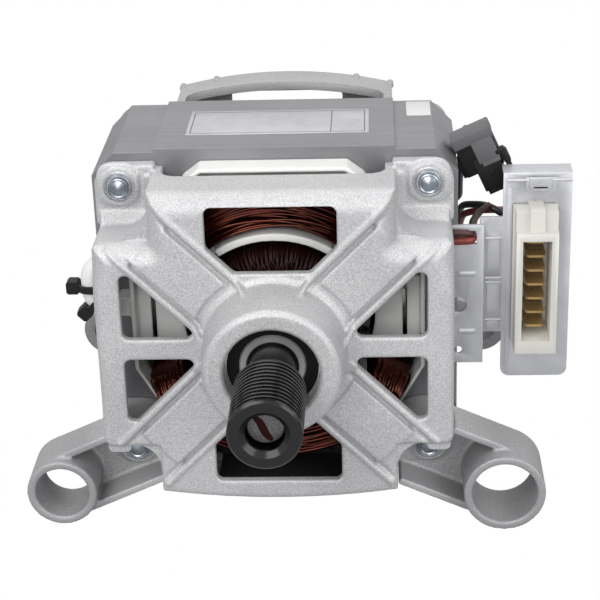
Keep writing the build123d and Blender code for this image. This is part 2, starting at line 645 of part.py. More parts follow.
def front_bracket():
    """Front end bracket with its tall bearing hub and the two legs."""
    shell = Pos(0, FRONT_FACE_Y, 0) * bracket_shell(FRONT_DEPTH, FRONT_BAND, -1, FRONT_RIM_BOW, 0)
    plate_rear = FRONT_FACE_Y + FACE_PLATE
    hub = turned([(0, HUB_FACE_Y), (HUB_TIP_RADIUS - HUB_EDGE, HUB_FACE_Y),
                  (HUB_TIP_RADIUS, HUB_FACE_Y + HUB_EDGE),
                  (HUB_ROOT_RADIUS, FRONT_FACE_Y), (HUB_ROOT_RADIUS, plate_rear + HUB_TAIL),
                  (0, plate_rear + HUB_TAIL)])
    body = shell + hub
    for rib in arm_gussets():
        body += Pos(0, FRONT_FACE_Y, 0) * rib
    body += leg(-1, LEFT_TUBE_OUTER, LEFT_TUBE_BORE, LEFT_TUBE_LENGTH)
    body += leg(1, RIGHT_TUBE_OUTER, RIGHT_TUBE_BORE, RIGHT_TUBE_LENGTH)
    seat_start = HUB_FACE_Y + HUB_LIP
    seat = FRONT_BEARING_OUTER + FIT_GAP
    groove_start = seat_start + FRONT_BEARING_WIDTH + SEAT_GAP
    groove = SNAP_RING_THICKNESS + SEAT_GAP
    body -= turned([(0, HUB_FACE_Y - OVERRUN), (HUB_MOUTH_RADIUS + HUB_MOUTH_CHAMFER, HUB_FACE_Y - OVERRUN),
                    (HUB_MOUTH_RADIUS + HUB_MOUTH_CHAMFER, HUB_FACE_Y),
                    (HUB_MOUTH_RADIUS, HUB_FACE_Y + HUB_MOUTH_CHAMFER), (HUB_MOUTH_RADIUS, seat_start),
                    (seat, seat_start), (seat, groove_start), (seat + SNAP_GROOVE, groove_start),
                    (seat + SNAP_GROOVE, groove_start + groove), (seat, groove_start + groove),
                    (seat, plate_rear + HUB_TAIL + OVERRUN), (0, plate_rear + HUB_TAIL + OVERRUN)])
    seat_y = bolt_seats()[0]
    for sx, sz in corners():
        body -= rod(sx * BOLT_X, sz * BOLT_Z, BOLT_FLANGE_RADIUS + BOLT_CLEAR, FRONT_FACE_Y, seat_y)
        body -= rod(sx * BOLT_X, sz * BOLT_Z, BOLT_RADIUS + BOLT_CLEAR, FRONT_FACE_Y, STATOR_FRONT_Y + OVERRUN)
        lip = ring(BOSS_RING_INNER, BOSS_RING_OUTER, seat_y - BOSS_RING_HEIGHT, seat_y + SINK)
        body += Pos(sx * BOLT_X, 0, sz * BOLT_Z) * lip
    return body


def rear_seat_start():
    """Station where the rear bearing's seat begins."""
    return REAR_FACE_Y - REAR_HUB_INWARD


def rear_bearing_start():
    """Front face of the rear bearing."""
    return REAR_FACE_Y + REAR_HUB_OUTWARD - REAR_HUB_LIP - WAVE_SPACE - REAR_BEARING_WIDTH


def rear_rim_height(x):
    """Height of the rear bracket's bowed rim at x."""
    bow_radius = (NOTCH_X ** 2 + REAR_RIM_BOW ** 2) / (REAR_RIM_BOW * 2)
    top = TUB_HALF_HEIGHT - REAR_RIM_DROP + REAR_RIM_BOW
    return top - bow_radius + math.sqrt(bow_radius ** 2 - x ** 2)


def rear_bracket():
    """Rear end bracket with the rear bearing hub, two small lugs and the rim's ejector knobs."""
    rear_shell = bracket_shell(REAR_DEPTH, REAR_BAND, 1, REAR_RIM_BOW, REAR_RIM_DROP)
    shell = Pos(0, REAR_FACE_Y, 0) * mirror(rear_shell, Plane.XZ)
    rear = REAR_FACE_Y + REAR_HUB_OUTWARD
    body = shell + ring(0, REAR_HUB_RADIUS, rear_seat_start(), rear)
    lug_front = REAR_FACE_Y - REAR_LUG_AHEAD
    arm_front = REAR_FACE_Y - REAR_ARM_SETBACK - REAR_ARM_THICKNESS
    for side in (-1, 1):
        x = side * REAR_LUG_X
        arm = make_face(Polyline((side * (NOTCH_X + TUB_WALL), -NOTCH_Z), (side * (TUB_HALF_WIDTH - TUB_WALL), -NOTCH_Z + TUB_WALL),
                                 (x, -REAR_LUG_Z + REAR_LUG_RADIUS), (x, -REAR_LUG_Z - REAR_LUG_RADIUS),
                                 close=True))
        body += prism(arm, arm_front, arm_front + REAR_ARM_THICKNESS)
        body += rod(x, -REAR_LUG_Z, REAR_LUG_RADIUS, lug_front, lug_front + REAR_LUG_LENGTH)
        body -= rod(x, -REAR_LUG_Z, REAR_LUG_BORE, lug_front - OVERRUN, lug_front + REAR_LUG_LENGTH + OVERRUN)
        for inset in RIM_KNOB_INSETS:
            knob_x = NOTCH_X - inset
            knob_end = REAR_FACE_Y - EDGE_RADIUS
            body += rod(side * knob_x, rear_rim_height(knob_x) - RIM_KNOB_SINK, RIM_KNOB_RADIUS,
                        knob_end - RIM_KNOB_LENGTH, knob_end)
        foot_x = side * HOLDER_FOOT_X
        body -= rod(foot_x, 0, HOLDER_SCREW_RADIUS + SEAT_GAP, REAR_FACE_Y - FACE_PLATE - OVERRUN, REAR_FACE_Y + OVERRUN)
    seat = REAR_BEARING_OUTER + FIT_GAP
    body -= ring(0, seat, rear_seat_start() - OVERRUN, rear - REAR_HUB_LIP)
    body -= ring(0, REAR_HUB_HOLE, rear - REAR_HUB_LIP - OVERRUN, rear + OVERRUN)
    for x, z in sensor_screw_places():
        body -= rod(x, z, SENSOR_SCREW_RADIUS + FIT_GAP, rear - SENSOR_SCREW_DEPTH - LOOSE_GAP, rear + OVERRUN)
    for sx, sz in corners():
        body -= rod(sx * BOLT_X, sz * BOLT_Z, BOLT_RADIUS + BOLT_CLEAR, STATOR_REAR_Y - OVERRUN, REAR_FACE_Y)
    return body


# Stator

def stator_core():
    """Laminated stack with two pole shoes, above and below the bore."""
    half_w = STATOR_HALF_WIDTH
    half_h = STATOR_HALF_HEIGHT
    shape = chamfer((Sketch() + Rectangle(STATOR_WIDTH, STATOR_HEIGHT)).vertices(), STACK_CHAMFER)
    shape += Rectangle(NOTCH_X * 2, (half_h + STACK_BAND_RISE) * 2)
    shape -= Circle(SLOT_RADIUS)
    for sz in (1, -1):
        neck = Pos(0, sz * (BORE_RADIUS + SLOT_RADIUS) / 2) * Rectangle(POLE_HALF * 2, SLOT_RADIUS - BORE_RADIUS + SINK)
        shape += neck
        shoe = Circle(BORE_RADIUS + SHOE_THICKNESS)
        low = (BORE_RADIUS + SHOE_THICKNESS) * math.sin(math.radians(SHOE_ANGLE))
        keep = Pos(0, sz * (low + half_w)) * Rectangle(STATOR_WIDTH, half_w * 2)
        shape += shoe & keep
    shape -= Circle(BORE_RADIUS)
    for sx, sz in corners():
        shape -= Pos(sx * BOLT_X, sz * BOLT_Z) * Circle(BOLT_RADIUS + BOLT_CLEAR)
    stack = prism(shape, STATOR_FRONT_Y, STATOR_REAR_Y)
    for z in STRIP_SCREW_Z:
        end = STATOR_FRONT_Y + STRIP_SCREW_DEPTH + LOOSE_GAP
        stack -= rod(STRIP_SCREW_X, z, STRIP_SCREW_RADIUS + FIT_GAP, STATOR_FRONT_Y - OVERRUN, end)
    return stack


def frame_outline(shrink):
    """Half outline of an insulating frame's wall, mirrored about the middle."""
    x = FRAME_HALF_X - shrink
    z = FRAME_HALF_Z - shrink
    cut = shrink * (math.sqrt(2) - 1)
    points = [(FRAME_FLAT_X - cut, z), (FRAME_SHOULDER_X - cut, FRAME_SHOULDER_Z - shrink),
              (x, FRAME_FLAT_Z + cut)]
    right = points + [(px, -pz) for px, pz in reversed(points)]
    left = [(-px, pz) for px, pz in reversed(right)]
    return make_face(Polyline(*(right + left), close=True))


def insulator(face, away):
    """Moulded frame on one face of the stack; away is the direction out of the stack."""
    plate = face + away * SEAT_GAP
    lip = face + away * FRAME_DEPTH
    arc_end = face + away * FRAME_ARC_DEPTH
    lo, hi = sorted((plate, plate + away * FRAME_PLATE))
    arc_outer = FRAME_ARC_RADIUS + FRAME_ARC_WALL
    base = frame_outline(0) - Circle(FRAME_ARC_RADIUS)
    inner_x = coil_side_inner_x()
    outer_x = FRAME_HALF_X - FRAME_WALL
    high = slot_half_height()
    for sx, sz in corners():
        opening = Rectangle(outer_x - inner_x, high - LINER_HALF)
        base -= Pos(sx * (inner_x + outer_x) / 2, sz * (high + LINER_HALF) / 2) * opening
    for side in (-1, 1):
        base -= Pos(side * (outer_x - LINER_SLIT_INSET), 0) * Rectangle(*LINER_SLIT)
    body = prism(base, lo, hi)
    wall = frame_outline(0) - frame_outline(FRAME_WALL)
    body += prism(wall, *sorted((plate, lip)))
    low = FRAME_ARC_RADIUS * math.sin(math.radians(FRAME_ARC_ANGLE))
    collar = Circle(arc_outer) - Circle(FRAME_ARC_RADIUS)
    collar -= Rectangle(STATOR_WIDTH, low * 2)
    return body + prism(collar, *sorted((plate, arc_end)))


def front_insulator():
    """Front frame, with the lug on its left that the sleeved lead runs into."""
    lug_x, lug_y, lug_z = FRAME_LUG
    rear = STATOR_FRONT_Y - SEAT_GAP
    lug = block(-FRAME_HALF_X - lug_x, -FRAME_HALF_X + FRAME_WALL / 2, rear - lug_y, rear,
                FRAME_LUG_Z - lug_z / 2, FRAME_LUG_Z + lug_z / 2)
    return insulator(STATOR_FRONT_Y, -1) + lug


def coil_side_inner_x():
    """Where the coil sides come nearest to the middle plane, less a margin."""
    tilt = math.radians(COIL_ANGLE)
    inner = COIL_INNER - COIL_PITCH / 2
    return inner * math.cos(tilt) - COIL_BACK * math.sin(tilt) - COIL_MARGIN


def slot_half_height():
    """Half height of the opening that lets the coil sides through the insulating frame."""
    outer = COIL_INNER + COIL_PITCH * COIL_TURNS
    tilt = math.radians(COIL_ANGLE)
    return outer * math.sin(tilt) + (COIL_BACK + COIL_MARGIN) * math.cos(tilt)


def coil_faces():
    """Front and rear stations of the wire layer of a field coil."""
    return STATOR_FRONT_Y - COIL_OVERHANG, STATOR_REAR_Y + COIL_OVERHANG


def coil_core(sz):
    """Packed bundle under the outer layer of turns of one field coil."""
    front, rear = coil_faces()
    skin = WIRE_RADIUS + SEAT_GAP
    inner = COIL_INNER - COIL_PITCH / 2
    outer = COIL_INNER + COIL_PITCH * (COIL_TURNS - 1) + COIL_PITCH / 2
    tilt = math.radians(COIL_ANGLE)
    end_turns = Circle(outer) - Circle(inner)
    corner_x = outer * OVERRUN
    above = make_face(Polyline((0, 0), (corner_x * math.cos(tilt), corner_x * math.sin(tilt)),
                               (corner_x * math.cos(tilt), corner_x), (-corner_x * math.cos(tilt), corner_x),
                               (-corner_x * math.cos(tilt), corner_x * math.sin(tilt)), close=True))
    end_turns = end_turns & above
    plate = SEAT_GAP + FRAME_PLATE + SEAT_GAP
    body = prism(end_turns, front + skin, STATOR_FRONT_Y - plate)
    body += prism(end_turns, STATOR_REAR_Y + plate, rear - skin)
    reach = COIL_TURN_RADIUS - skin
    bar_height = reach + COIL_BACK
    bar = Pos((inner + outer) / 2, (front + rear) / 2, (COIL_BACK - reach) / 2)
    bar = bar * Box(outer - inner, rear - front - skin * 2, bar_height)
    low_edges = bar.edges().filter_by(Axis.X).group_by(Axis.Z)[0]
    bar = fillet(low_edges, reach - SEAT_GAP)
    right = Rot(0, -COIL_ANGLE, 0) * bar
    body += right
    body += mirror(right, Plane.YZ)
    return body if sz > 0 else mirror(body, Plane.XY)


def joined_arcs(start, start_way, end, end_way):
    """Two tangent arcs that leave start along one direction and reach end along another."""
    span = end - start
    ways = start_way + end_way
    spread = 2 * (1 - start_way.dot(end_way))
    root = math.sqrt(span.dot(ways) ** 2 + spread * span.dot(span))
    pull = (root - span.dot(ways)) / spread
    middle = (start + end + (start_way - end_way) * pull) * 0.5
    first = TangentArc(start, middle, tangent=start_way)
    second = TangentArc(middle, end, tangent=first % 1)
    return [first, second]


def coil_path():
    """Path of the outer layer of the upper field coil: flat loops over the pole, spreading outwards."""
    front, rear = coil_faces()
    tilt = math.radians(COIL_ANGLE)
    out = Vector(math.cos(tilt), 0, math.sin(tilt))
    rise = Vector(-math.sin(tilt), 0, math.cos(tilt))
    flip = lambda v: Vector(-v.X, v.Y, v.Z)
    back = Vector(0, 1, 0)
    bend = COIL_TURN_RADIUS

    def slot_point(radius, y):
        return out * radius - rise * bend + back * y

    def arc_point(radius, y):
        return out * radius + back * y

    middle = (front + rear) / 2
    edges = []
    radius = COIL_INNER
    here = slot_point(radius, middle)
    for turn in range(COIL_TURNS):
        rear_line = slot_point(radius, rear - bend)
        edges.append(Line(here, rear_line))
        edges.append(TangentArc(rear_line, arc_point(radius, rear), tangent=back))
        left_top = flip(arc_point(radius, rear))
        edges += joined_arcs(arc_point(radius, rear), rise, left_top, flip(rise) * -1)
        left_rear = flip(slot_point(radius, rear - bend))
        edges.append(TangentArc(left_top, left_rear, tangent=flip(rise) * -1))
        if turn == COIL_TURNS - 1:
            edges.append(Line(left_rear, flip(slot_point(radius, middle))))
            return edges
        left_front = flip(slot_point(radius, front + bend))
        edges.append(Line(left_rear, left_front))
        front_left = flip(arc_point(radius, front))
        edges.append(TangentArc(left_front, front_left, tangent=back * -1))
        radius += COIL_PITCH
        front_right = arc_point(radius, front)
        edges += joined_arcs(front_left, flip(rise), front_right, rise * -1)
        right_front = slot_point(radius, front + bend)
        edges.append(TangentArc(front_right, right_front, tangent=rise * -1))
        here = slot_point(radius, middle)
        edges.append(Line(right_front, here))
    return edges


def coil_wire(sz):
    """Outer layer of turns of one field coil, as one unbroken wire."""
    edges = coil_path()
    path = Wire(edges)
    section = Plane(origin=path @ 0, z_dir=path % 0) * RegularPolygon(WIRE_RADIUS, WIRE_SIDES)
    body = sweep(section, path=path)
    return body if sz > 0 else mirror(body, Plane.XY)


def report_coil_gap():
    """Prints the least gap of the outer layer to itself, measured on points along the wire."""
    points = []
    travelled = 0
    for edge in coil_path():
        steps = max(2, int(edge.length / WIRE_RADIUS / 2))
        for step in range(steps):
            here = edge @ (step / steps)
            points.append((travelled + edge.length * step / steps, here.X, here.Y, here.Z))
        travelled += edge.length
    least = STATOR_WIDTH ** 2
    for i, (run, x, y, z) in enumerate(points):
        for other_run, ox, oy, oz in points[i + 1:]:
            if other_run - run > COIL_TURN_RADIUS * 4:
                least = min(least, (x - ox) ** 2 + (y - oy) ** 2 + (z - oz) ** 2)
    print("field coil: least gap between turns", round(math.sqrt(least) - WIRE_RADIUS * 2, 3), "mm")


# Bolts, washers and nuts

def bolt_seats():
    """Stations of the two seats that the bolts clamp."""
    return STATOR_FRONT_Y - PAD_THICKNESS, STATOR_REAR_Y + PAD_THICKNESS


def through_bolts():
    """Four long bolts with flanged, cone-centred heads."""
    head, nut = bolt_seats()
    tail = nut + WASHER_THICKNESS + NUT_HEIGHT + BOLT_STICKOUT
    collar = head - BOLT_FLANGE - BOLT_HEAD
    bolt = turned([(0, collar - BOLT_CONE), (BOLT_CONE_TIP, collar - BOLT_CONE), (BOLT_CONE, collar),
                   (BOLT_HEAD_RADIUS, collar), (BOLT_HEAD_RADIUS, head - BOLT_FLANGE),
                   (BOLT_FLANGE_RADIUS, head - BOLT_FLANGE), (BOLT_FLANGE_RADIUS, head),
                   (BOLT_RADIUS, head), (BOLT_RADIUS, tail), (0, tail)])
    return [Pos(sx * BOLT_X, 0, sz * BOLT_Z) * bolt for sx, sz in corners()]


def bolt_washers():
    """Plain washers under the four nuts."""
    seat = bolt_seats()[1]
    washer = ring(BOLT_RADIUS + SEAT_GAP, WASHER_RADIUS, seat, seat + WASHER_THICKNESS)
    return [Pos(sx * BOLT_X, 0, sz * BOLT_Z) * washer for sx, sz in corners()]


def bolt_nuts():
    """Four hexagon nuts at the rear bracket."""
    start = bolt_seats()[1] + WASHER_THICKNESS
    hexagon = RegularPolygon(NUT_ACROSS / 2, 6, major_radius=False) - Circle(BOLT_RADIUS + FIT_GAP)
    nut = prism(hexagon, start, start + NUT_HEIGHT)
    return [Pos(sx * BOLT_X, 0, sz * BOLT_Z) * nut for sx, sz in corners()]


# Ball bearings

class Bearing:
    """Sizes of one deep-groove bearing, worked out from its standard envelope."""

    def __init__(self, start, bore, outer, width, balls):
        section = outer - bore
        self.start = start
        self.width = width
        self.bore = bore + FIT_GAP
        self.outer = outer
        self.inner_land = bore + section * INNER_RING_SHARE
        self.outer_land = outer - section * OUTER_RING_SHARE
        self.pitch = (bore + outer) / 2
        self.ball = section * BALL_SHARE
        self.middle = start + width / 2
        self.balls = balls

    def groove(self):
        """Ball track, cut into both rings."""
        return Pos(0, self.middle, 0) * Rot(90, 0, 0) * Torus(self.pitch, self.ball + GROOVE_GAP)

    def inner_ring(self):
        start, end = self.start, self.start + self.width
        outline = [(self.bore, start), (self.inner_land - RING_CHAMFER, start), (self.inner_land, start + RING_CHAMFER),
                   (self.inner_land, end - RING_CHAMFER), (self.inner_land - RING_CHAMFER, end), (self.bore, end)]
        return turned(outline) - self.groove()

    def outer_ring(self):
        start, end = self.start, self.start + self.width
        outline = [(self.outer_land, start), (self.outer - RING_CHAMFER, start), (self.outer, start + RING_CHAMFER),
                   (self.outer, end - RING_CHAMFER), (self.outer - RING_CHAMFER, end), (self.outer_land, end)]
        return turned(outline) - self.groove()

    def ball_places(self):
        return [Rot(0, 360 * i / self.balls, 0) * Pos(self.pitch, 0, 0) for i in range(self.balls)]

    def ball_set(self):
        lift = Pos(0, self.middle, 0)
        return [lift * place * Sphere(self.ball) for place in self.ball_places()]

    def cage(self):
        band = ring(self.pitch - CAGE_HALF_THICKNESS, self.pitch + CAGE_HALF_THICKNESS,
                    self.middle - CAGE_HALF_WIDTH, self.middle + CAGE_HALF_WIDTH)
        for place in self.ball_places():
            pocket = Cylinder(self.ball + CAGE_POCKET_GAP, self.ball * 2)
            band -= Pos(0, self.middle, 0) * place * Rot(0, 90, 0) * pocket
        return band

    def seals(self):
        inner = self.inner_land + SEAL_GAP
        outer = self.outer_land
        first = ring(inner, outer, self.start + SEAL_INSET, self.start + SEAL_INSET + SEAL_THICKNESS)
        last = self.start + self.width - SEAL_INSET
        return [first, ring(inner, outer, last - SEAL_THICKNESS, last)]


def front_bearing():
    """Bearing in the front hub."""
    return Bearing(HUB_FACE_Y + HUB_LIP, FRONT_BEARING_BORE, FRONT_BEARING_OUTER, FRONT_BEARING_WIDTH, FRONT_BALLS)


def rear_bearing():
    """Bearing in the rear hub."""
    return Bearing(rear_bearing_start(), REAR_BEARING_BORE, REAR_BEARING_OUTER, REAR_BEARING_WIDTH, REAR_BALLS)


def snap_ring():
    """Open ring that keeps the front bearing in its seat."""
    start = HUB_FACE_Y + HUB_LIP + FRONT_BEARING_WIDTH + SEAT_GAP
    outer = FRONT_BEARING_OUTER + SNAP_GROOVE - SEAT_GAP
    body = ring(outer - SNAP_RING_DEPTH, outer, start + SEAT_GAP / 2, start + SEAT_GAP / 2 + SNAP_RING_THICKNESS)
    gap = SNAP_RING_DEPTH * 2
    return body - block(-gap / 2, gap / 2, start - OVERRUN, start + OVERRUN, -outer - OVERRUN, 0)


def wave_washer():
    """Spring washer behind the rear bearing, drawn flat."""
    start = rear_bearing_start() + REAR_BEARING_WIDTH + WAVE_SPACE - WAVE_THICKNESS
    outer = REAR_BEARING_OUTER - LOOSE_GAP
    return ring(outer - WAVE_WIDTH, outer, start - SEAT_GAP, start - SEAT_GAP + WAVE_THICKNESS)


# Rotor

def magnet_start():
    """Front face of the sensor magnet."""
    return REAR_FACE_Y + REAR_HUB_OUTWARD + MAGNET_SETBACK


def shaft():
    """Stepped shaft from the pulley to the sensor magnet."""
    tip = PULLEY_FRONT_Y + SHAFT_RECESS
    shoulder = PULLEY_REAR_Y
    step = rear_bearing_start()
    tail = rear_bearing_start() + REAR_BEARING_WIDTH
    end = magnet_start() + MAGNET_LENGTH
    return turned([(0, tip), (PULLEY_BORE - SHAFT_TIP_CHAMFER, tip), (PULLEY_BORE, tip + SHAFT_TIP_CHAMFER),
                   (PULLEY_BORE, shoulder), (SHAFT_RADIUS, shoulder), (SHAFT_RADIUS, step),
                   (REAR_BEARING_BORE, step), (REAR_BEARING_BORE, tail), (SHAFT_TAIL_RADIUS, tail),
                   (SHAFT_TAIL_RADIUS, end), (0, end)])


def pulley():
    """Long belt pulley with V grooves between narrow ribs."""
    tip = RIB_PITCH * RIB_TIP_SHARE
    rim = PULLEY_RADIUS
    bore = PULLEY_BORE + FIT_GAP
    mouth = bore + PULLEY_MOUTH_CHAMFER
    points = [(bore, PULLEY_REAR_Y), (bore, PULLEY_FRONT_Y + PULLEY_MOUTH_CHAMFER), (mouth, PULLEY_FRONT_Y),
              (rim - PULLEY_EDGE, PULLEY_FRONT_Y), (rim, PULLEY_FRONT_Y + PULLEY_EDGE)]
    station = PULLEY_FRONT_Y + RIB_LEAD
    for rib in range(RIB_COUNT):
        points += [(rim, station + tip / 2), (rim - RIB_DEPTH, station + RIB_PITCH / 2),
                   (rim, station + RIB_PITCH - tip / 2)]
        station += RIB_PITCH
    points += [(rim, PULLEY_REAR_Y - PULLEY_EDGE), (rim - PULLEY_EDGE, PULLEY_REAR_Y)]
    return turned(points)


def rotor_span():
    """Front and rear faces of the rotor stack."""
    return STATOR_FRONT_Y + ROTOR_SETBACK, STATOR_REAR_Y - ROTOR_SETBACK


def rotor_core():
    """Slotted rotor stack."""
    start, end = rotor_span()
    outer = BORE_RADIUS - AIR_GAP
    shape = Circle(outer) - Circle(SHAFT_RADIUS + FIT_GAP)
    slot = Pos(outer - ROTOR_SLOT_DEPTH / 2 + SINK, 0) * Rectangle(ROTOR_SLOT_DEPTH + SINK, ROTOR_SLOT_WIDTH)
    for i in range(ROTOR_SLOTS):
        shape -= Rot(0, 0, 360 * i / ROTOR_SLOTS) * slot
    return prism(shape, start, end)


def rotor_winding(start, away):
    """Packed end turns on one face of the rotor stack."""
    near = start + away * SEAT_GAP
    far = start + away * WINDING_LENGTH
    rounded = WINDING_ROUND
    shoulder = rounded * WINDING_SHOULDER_SHARE
    inner = WINDING_INNER
    return turned([(inner, near), (WINDING_OUTER, near), (WINDING_OUTER, far - away * rounded),
                   (WINDING_OUTER - shoulder, far - away * shoulder), (WINDING_OUTER - rounded, far),
                   (inner + rounded, far), (inner, far - away * rounded)])


def commutator_start():
    """Front end of the commutator, where its hooks are."""
    return rotor_span()[1] + WINDING_LENGTH + LOOSE_GAP


def commutator_hub():
    """Moulded core of the commutator."""
    start = commutator_start()
    return ring(SHAFT_RADIUS + FIT_GAP, COMMUTATOR_RADIUS - BAR_DEPTH, start, start + COMMUTATOR_LENGTH)


def commutator_bars():
    """Copper bars with a raised hook end each, set apart by narrow gaps."""
    start = commutator_start()
    end = start + COMMUTATOR_LENGTH
    inner = COMMUTATOR_RADIUS - BAR_DEPTH + FIT_GAP
    sleeve = turned([(inner, start), (COMMUTATOR_RADIUS + RISER_HEIGHT, start),
                     (COMMUTATOR_RADIUS + RISER_HEIGHT, start + RISER_LENGTH),
                     (COMMUTATOR_RADIUS, start + RISER_LENGTH), (COMMUTATOR_RADIUS, end), (inner, end)])
    slot = Pos(COMMUTATOR_RADIUS, 0) * Rectangle(COMMUTATOR_RADIUS, BAR_GAP)
    slits = Sketch()
    for i in range(COMMUTATOR_BARS):
        slits += Rot(0, 0, 360 * i / COMMUTATOR_BARS) * slot
    return (sleeve - prism(slits, start - OVERRUN, end + OVERRUN)).solids()


# Brush gear, mirrored left and right

def brush_middle():
    """Station of the middle of both brushes."""
    return commutator_start() + (COMMUTATOR_LENGTH + RISER_LENGTH) / 2


def brush(side):
    """Carbon block that rides on the commutator."""
    inner = COMMUTATOR_RADIUS + BRUSH_CONTACT_GAP
    y = brush_middle()
    half_w = BRUSH_WIDTH / 2
    half_t = BRUSH_THICKNESS / 2
    return block(side * inner, side * (inner + BRUSH_LENGTH), y - half_w, y + half_w, -half_t, half_t)


def brush_holder(side):
    """Moulded holder: a square channel for the brush, a closed end and a foot on the bracket's spoke."""
    y = brush_middle()
    inner = COMMUTATOR_RADIUS + HOLDER_CLEAR
    half_w = BRUSH_WIDTH / 2 + BRUSH_SIDE_GAP
    half_t = BRUSH_THICKNESS / 2 + BRUSH_SIDE_GAP
    wall = HOLDER_WALL
    body = block(side * inner, side * HOLDER_OUTER_X, y - half_w - wall, y + half_w + wall, -half_t - wall, half_t + wall)
    body -= block(side * (inner - OVERRUN), side * (HOLDER_OUTER_X - HOLDER_CAP), y - half_w, y + half_w, -half_t, half_t)
    foot = HOLDER_FOOT_LENGTH / 2
    plate = REAR_FACE_Y - FACE_PLATE
    body += block(side * (HOLDER_FOOT_X - foot), side * (HOLDER_FOOT_X + foot), y + half_w + wall - SINK, plate,
                  -HOLDER_FOOT_HALF, HOLDER_FOOT_HALF)
    screw_end = REAR_FACE_Y - FACE_PLATE - HOLDER_SCREW_DEPTH
    return body - rod(side * HOLDER_FOOT_X, 0, HOLDER_SCREW_RADIUS + FIT_GAP, screw_end - LOOSE_GAP, plate + OVERRUN)


def brush_spring(side):
    """Compression spring between the brush and the holder's closed end, as its envelope."""
    start = COMMUTATOR_RADIUS + BRUSH_CONTACT_GAP + BRUSH_LENGTH
    end = HOLDER_OUTER_X - HOLDER_CAP
    sleeve = Cylinder(SPRING_RADIUS, end - start) - Cylinder(SPRING_RADIUS - SPRING_WIRE, end - start)
    return Pos(side * (start + end) / 2, brush_middle(), 0) * Rot(0, 90, 0) * sleeve


def holder_screws():
    """One screw through the rear bracket's spoke into each holder's foot."""
    screws = []
    for side in (-1, 1):
        x = side * HOLDER_FOOT_X
        tip = REAR_FACE_Y - FACE_PLATE - HOLDER_SCREW_DEPTH
        screw = rod(x, 0, HOLDER_SCREW_RADIUS, tip, REAR_FACE_Y)
        screws.append(screw + rod(x, 0, HOLDER_SCREW_HEAD, REAR_FACE_Y, REAR_FACE_Y + HOLDER_SCREW_HEAD_HEIGHT))
    return screws


# Speed sensor

def sensor_screw_places():
    """Centres of the cover's three screws."""
    places = []
    for i in range(3):
        turn = math.radians(90 + 120 * i)
        places.append((SENSOR_SCREW_CIRCLE * math.cos(turn), SENSOR_SCREW_CIRCLE * math.sin(turn)))
    return places


def tacho_magnet():
    """Ring magnet on the shaft's tail."""
    start = magnet_start()
    return ring(SHAFT_TAIL_RADIUS + FIT_GAP, MAGNET_RADIUS, start, start + MAGNET_LENGTH)


def tacho_coil():
    """Pick-up coil round the magnet."""
    start = magnet_start()
    return ring(SENSOR_COIL_BORE, SENSOR_COIL_RADIUS, start, start + SENSOR_COIL_LENGTH)


def tacho_cover():
    """Moulded cup over the sensor, screwed to the rear hub."""
    face = REAR_FACE_Y + REAR_HUB_OUTWARD
    cup = SENSOR_COIL_RADIUS + SEAT_GAP
    end = face + SENSOR_COVER_DEPTH
    floor = end - SENSOR_COVER_WALL
    body = turned([(cup, face), (SENSOR_COVER_FLANGE_RADIUS, face), (SENSOR_COVER_FLANGE_RADIUS, face + SENSOR_COVER_FLANGE),
                   (cup + SENSOR_COVER_WALL, face + SENSOR_COVER_FLANGE), (cup + SENSOR_COVER_WALL, end),
                   (0, end), (0, floor), (cup, floor)])
    for x, z in sensor_screw_places():
        body -= rod(x, z, SENSOR_SCREW_RADIUS + SEAT_GAP, face - OVERRUN, face + SENSOR_COVER_FLANGE + OVERRUN)
    return body


def tacho_screws():
    """Three small screws through the cover's flange."""
    face = REAR_FACE_Y + REAR_HUB_OUTWARD
    seat = face + SENSOR_COVER_FLANGE
    screws = []
    for x, z in sensor_screw_places():
        screw = rod(x, z, SENSOR_SCREW_RADIUS, face - SENSOR_SCREW_DEPTH, seat)
        screws.append(screw + rod(x, z, SENSOR_SCREW_HEAD, seat, seat + SENSOR_SCREW_HEAD_HEIGHT))
    return screws


# Plug bracket

def bracket_planes():
    """Front faces of the strip on the stack and of the plate that carries the plug."""
    strip = STATOR_FRONT_Y - SHEET
    return strip, strip + BRACKET_JOG


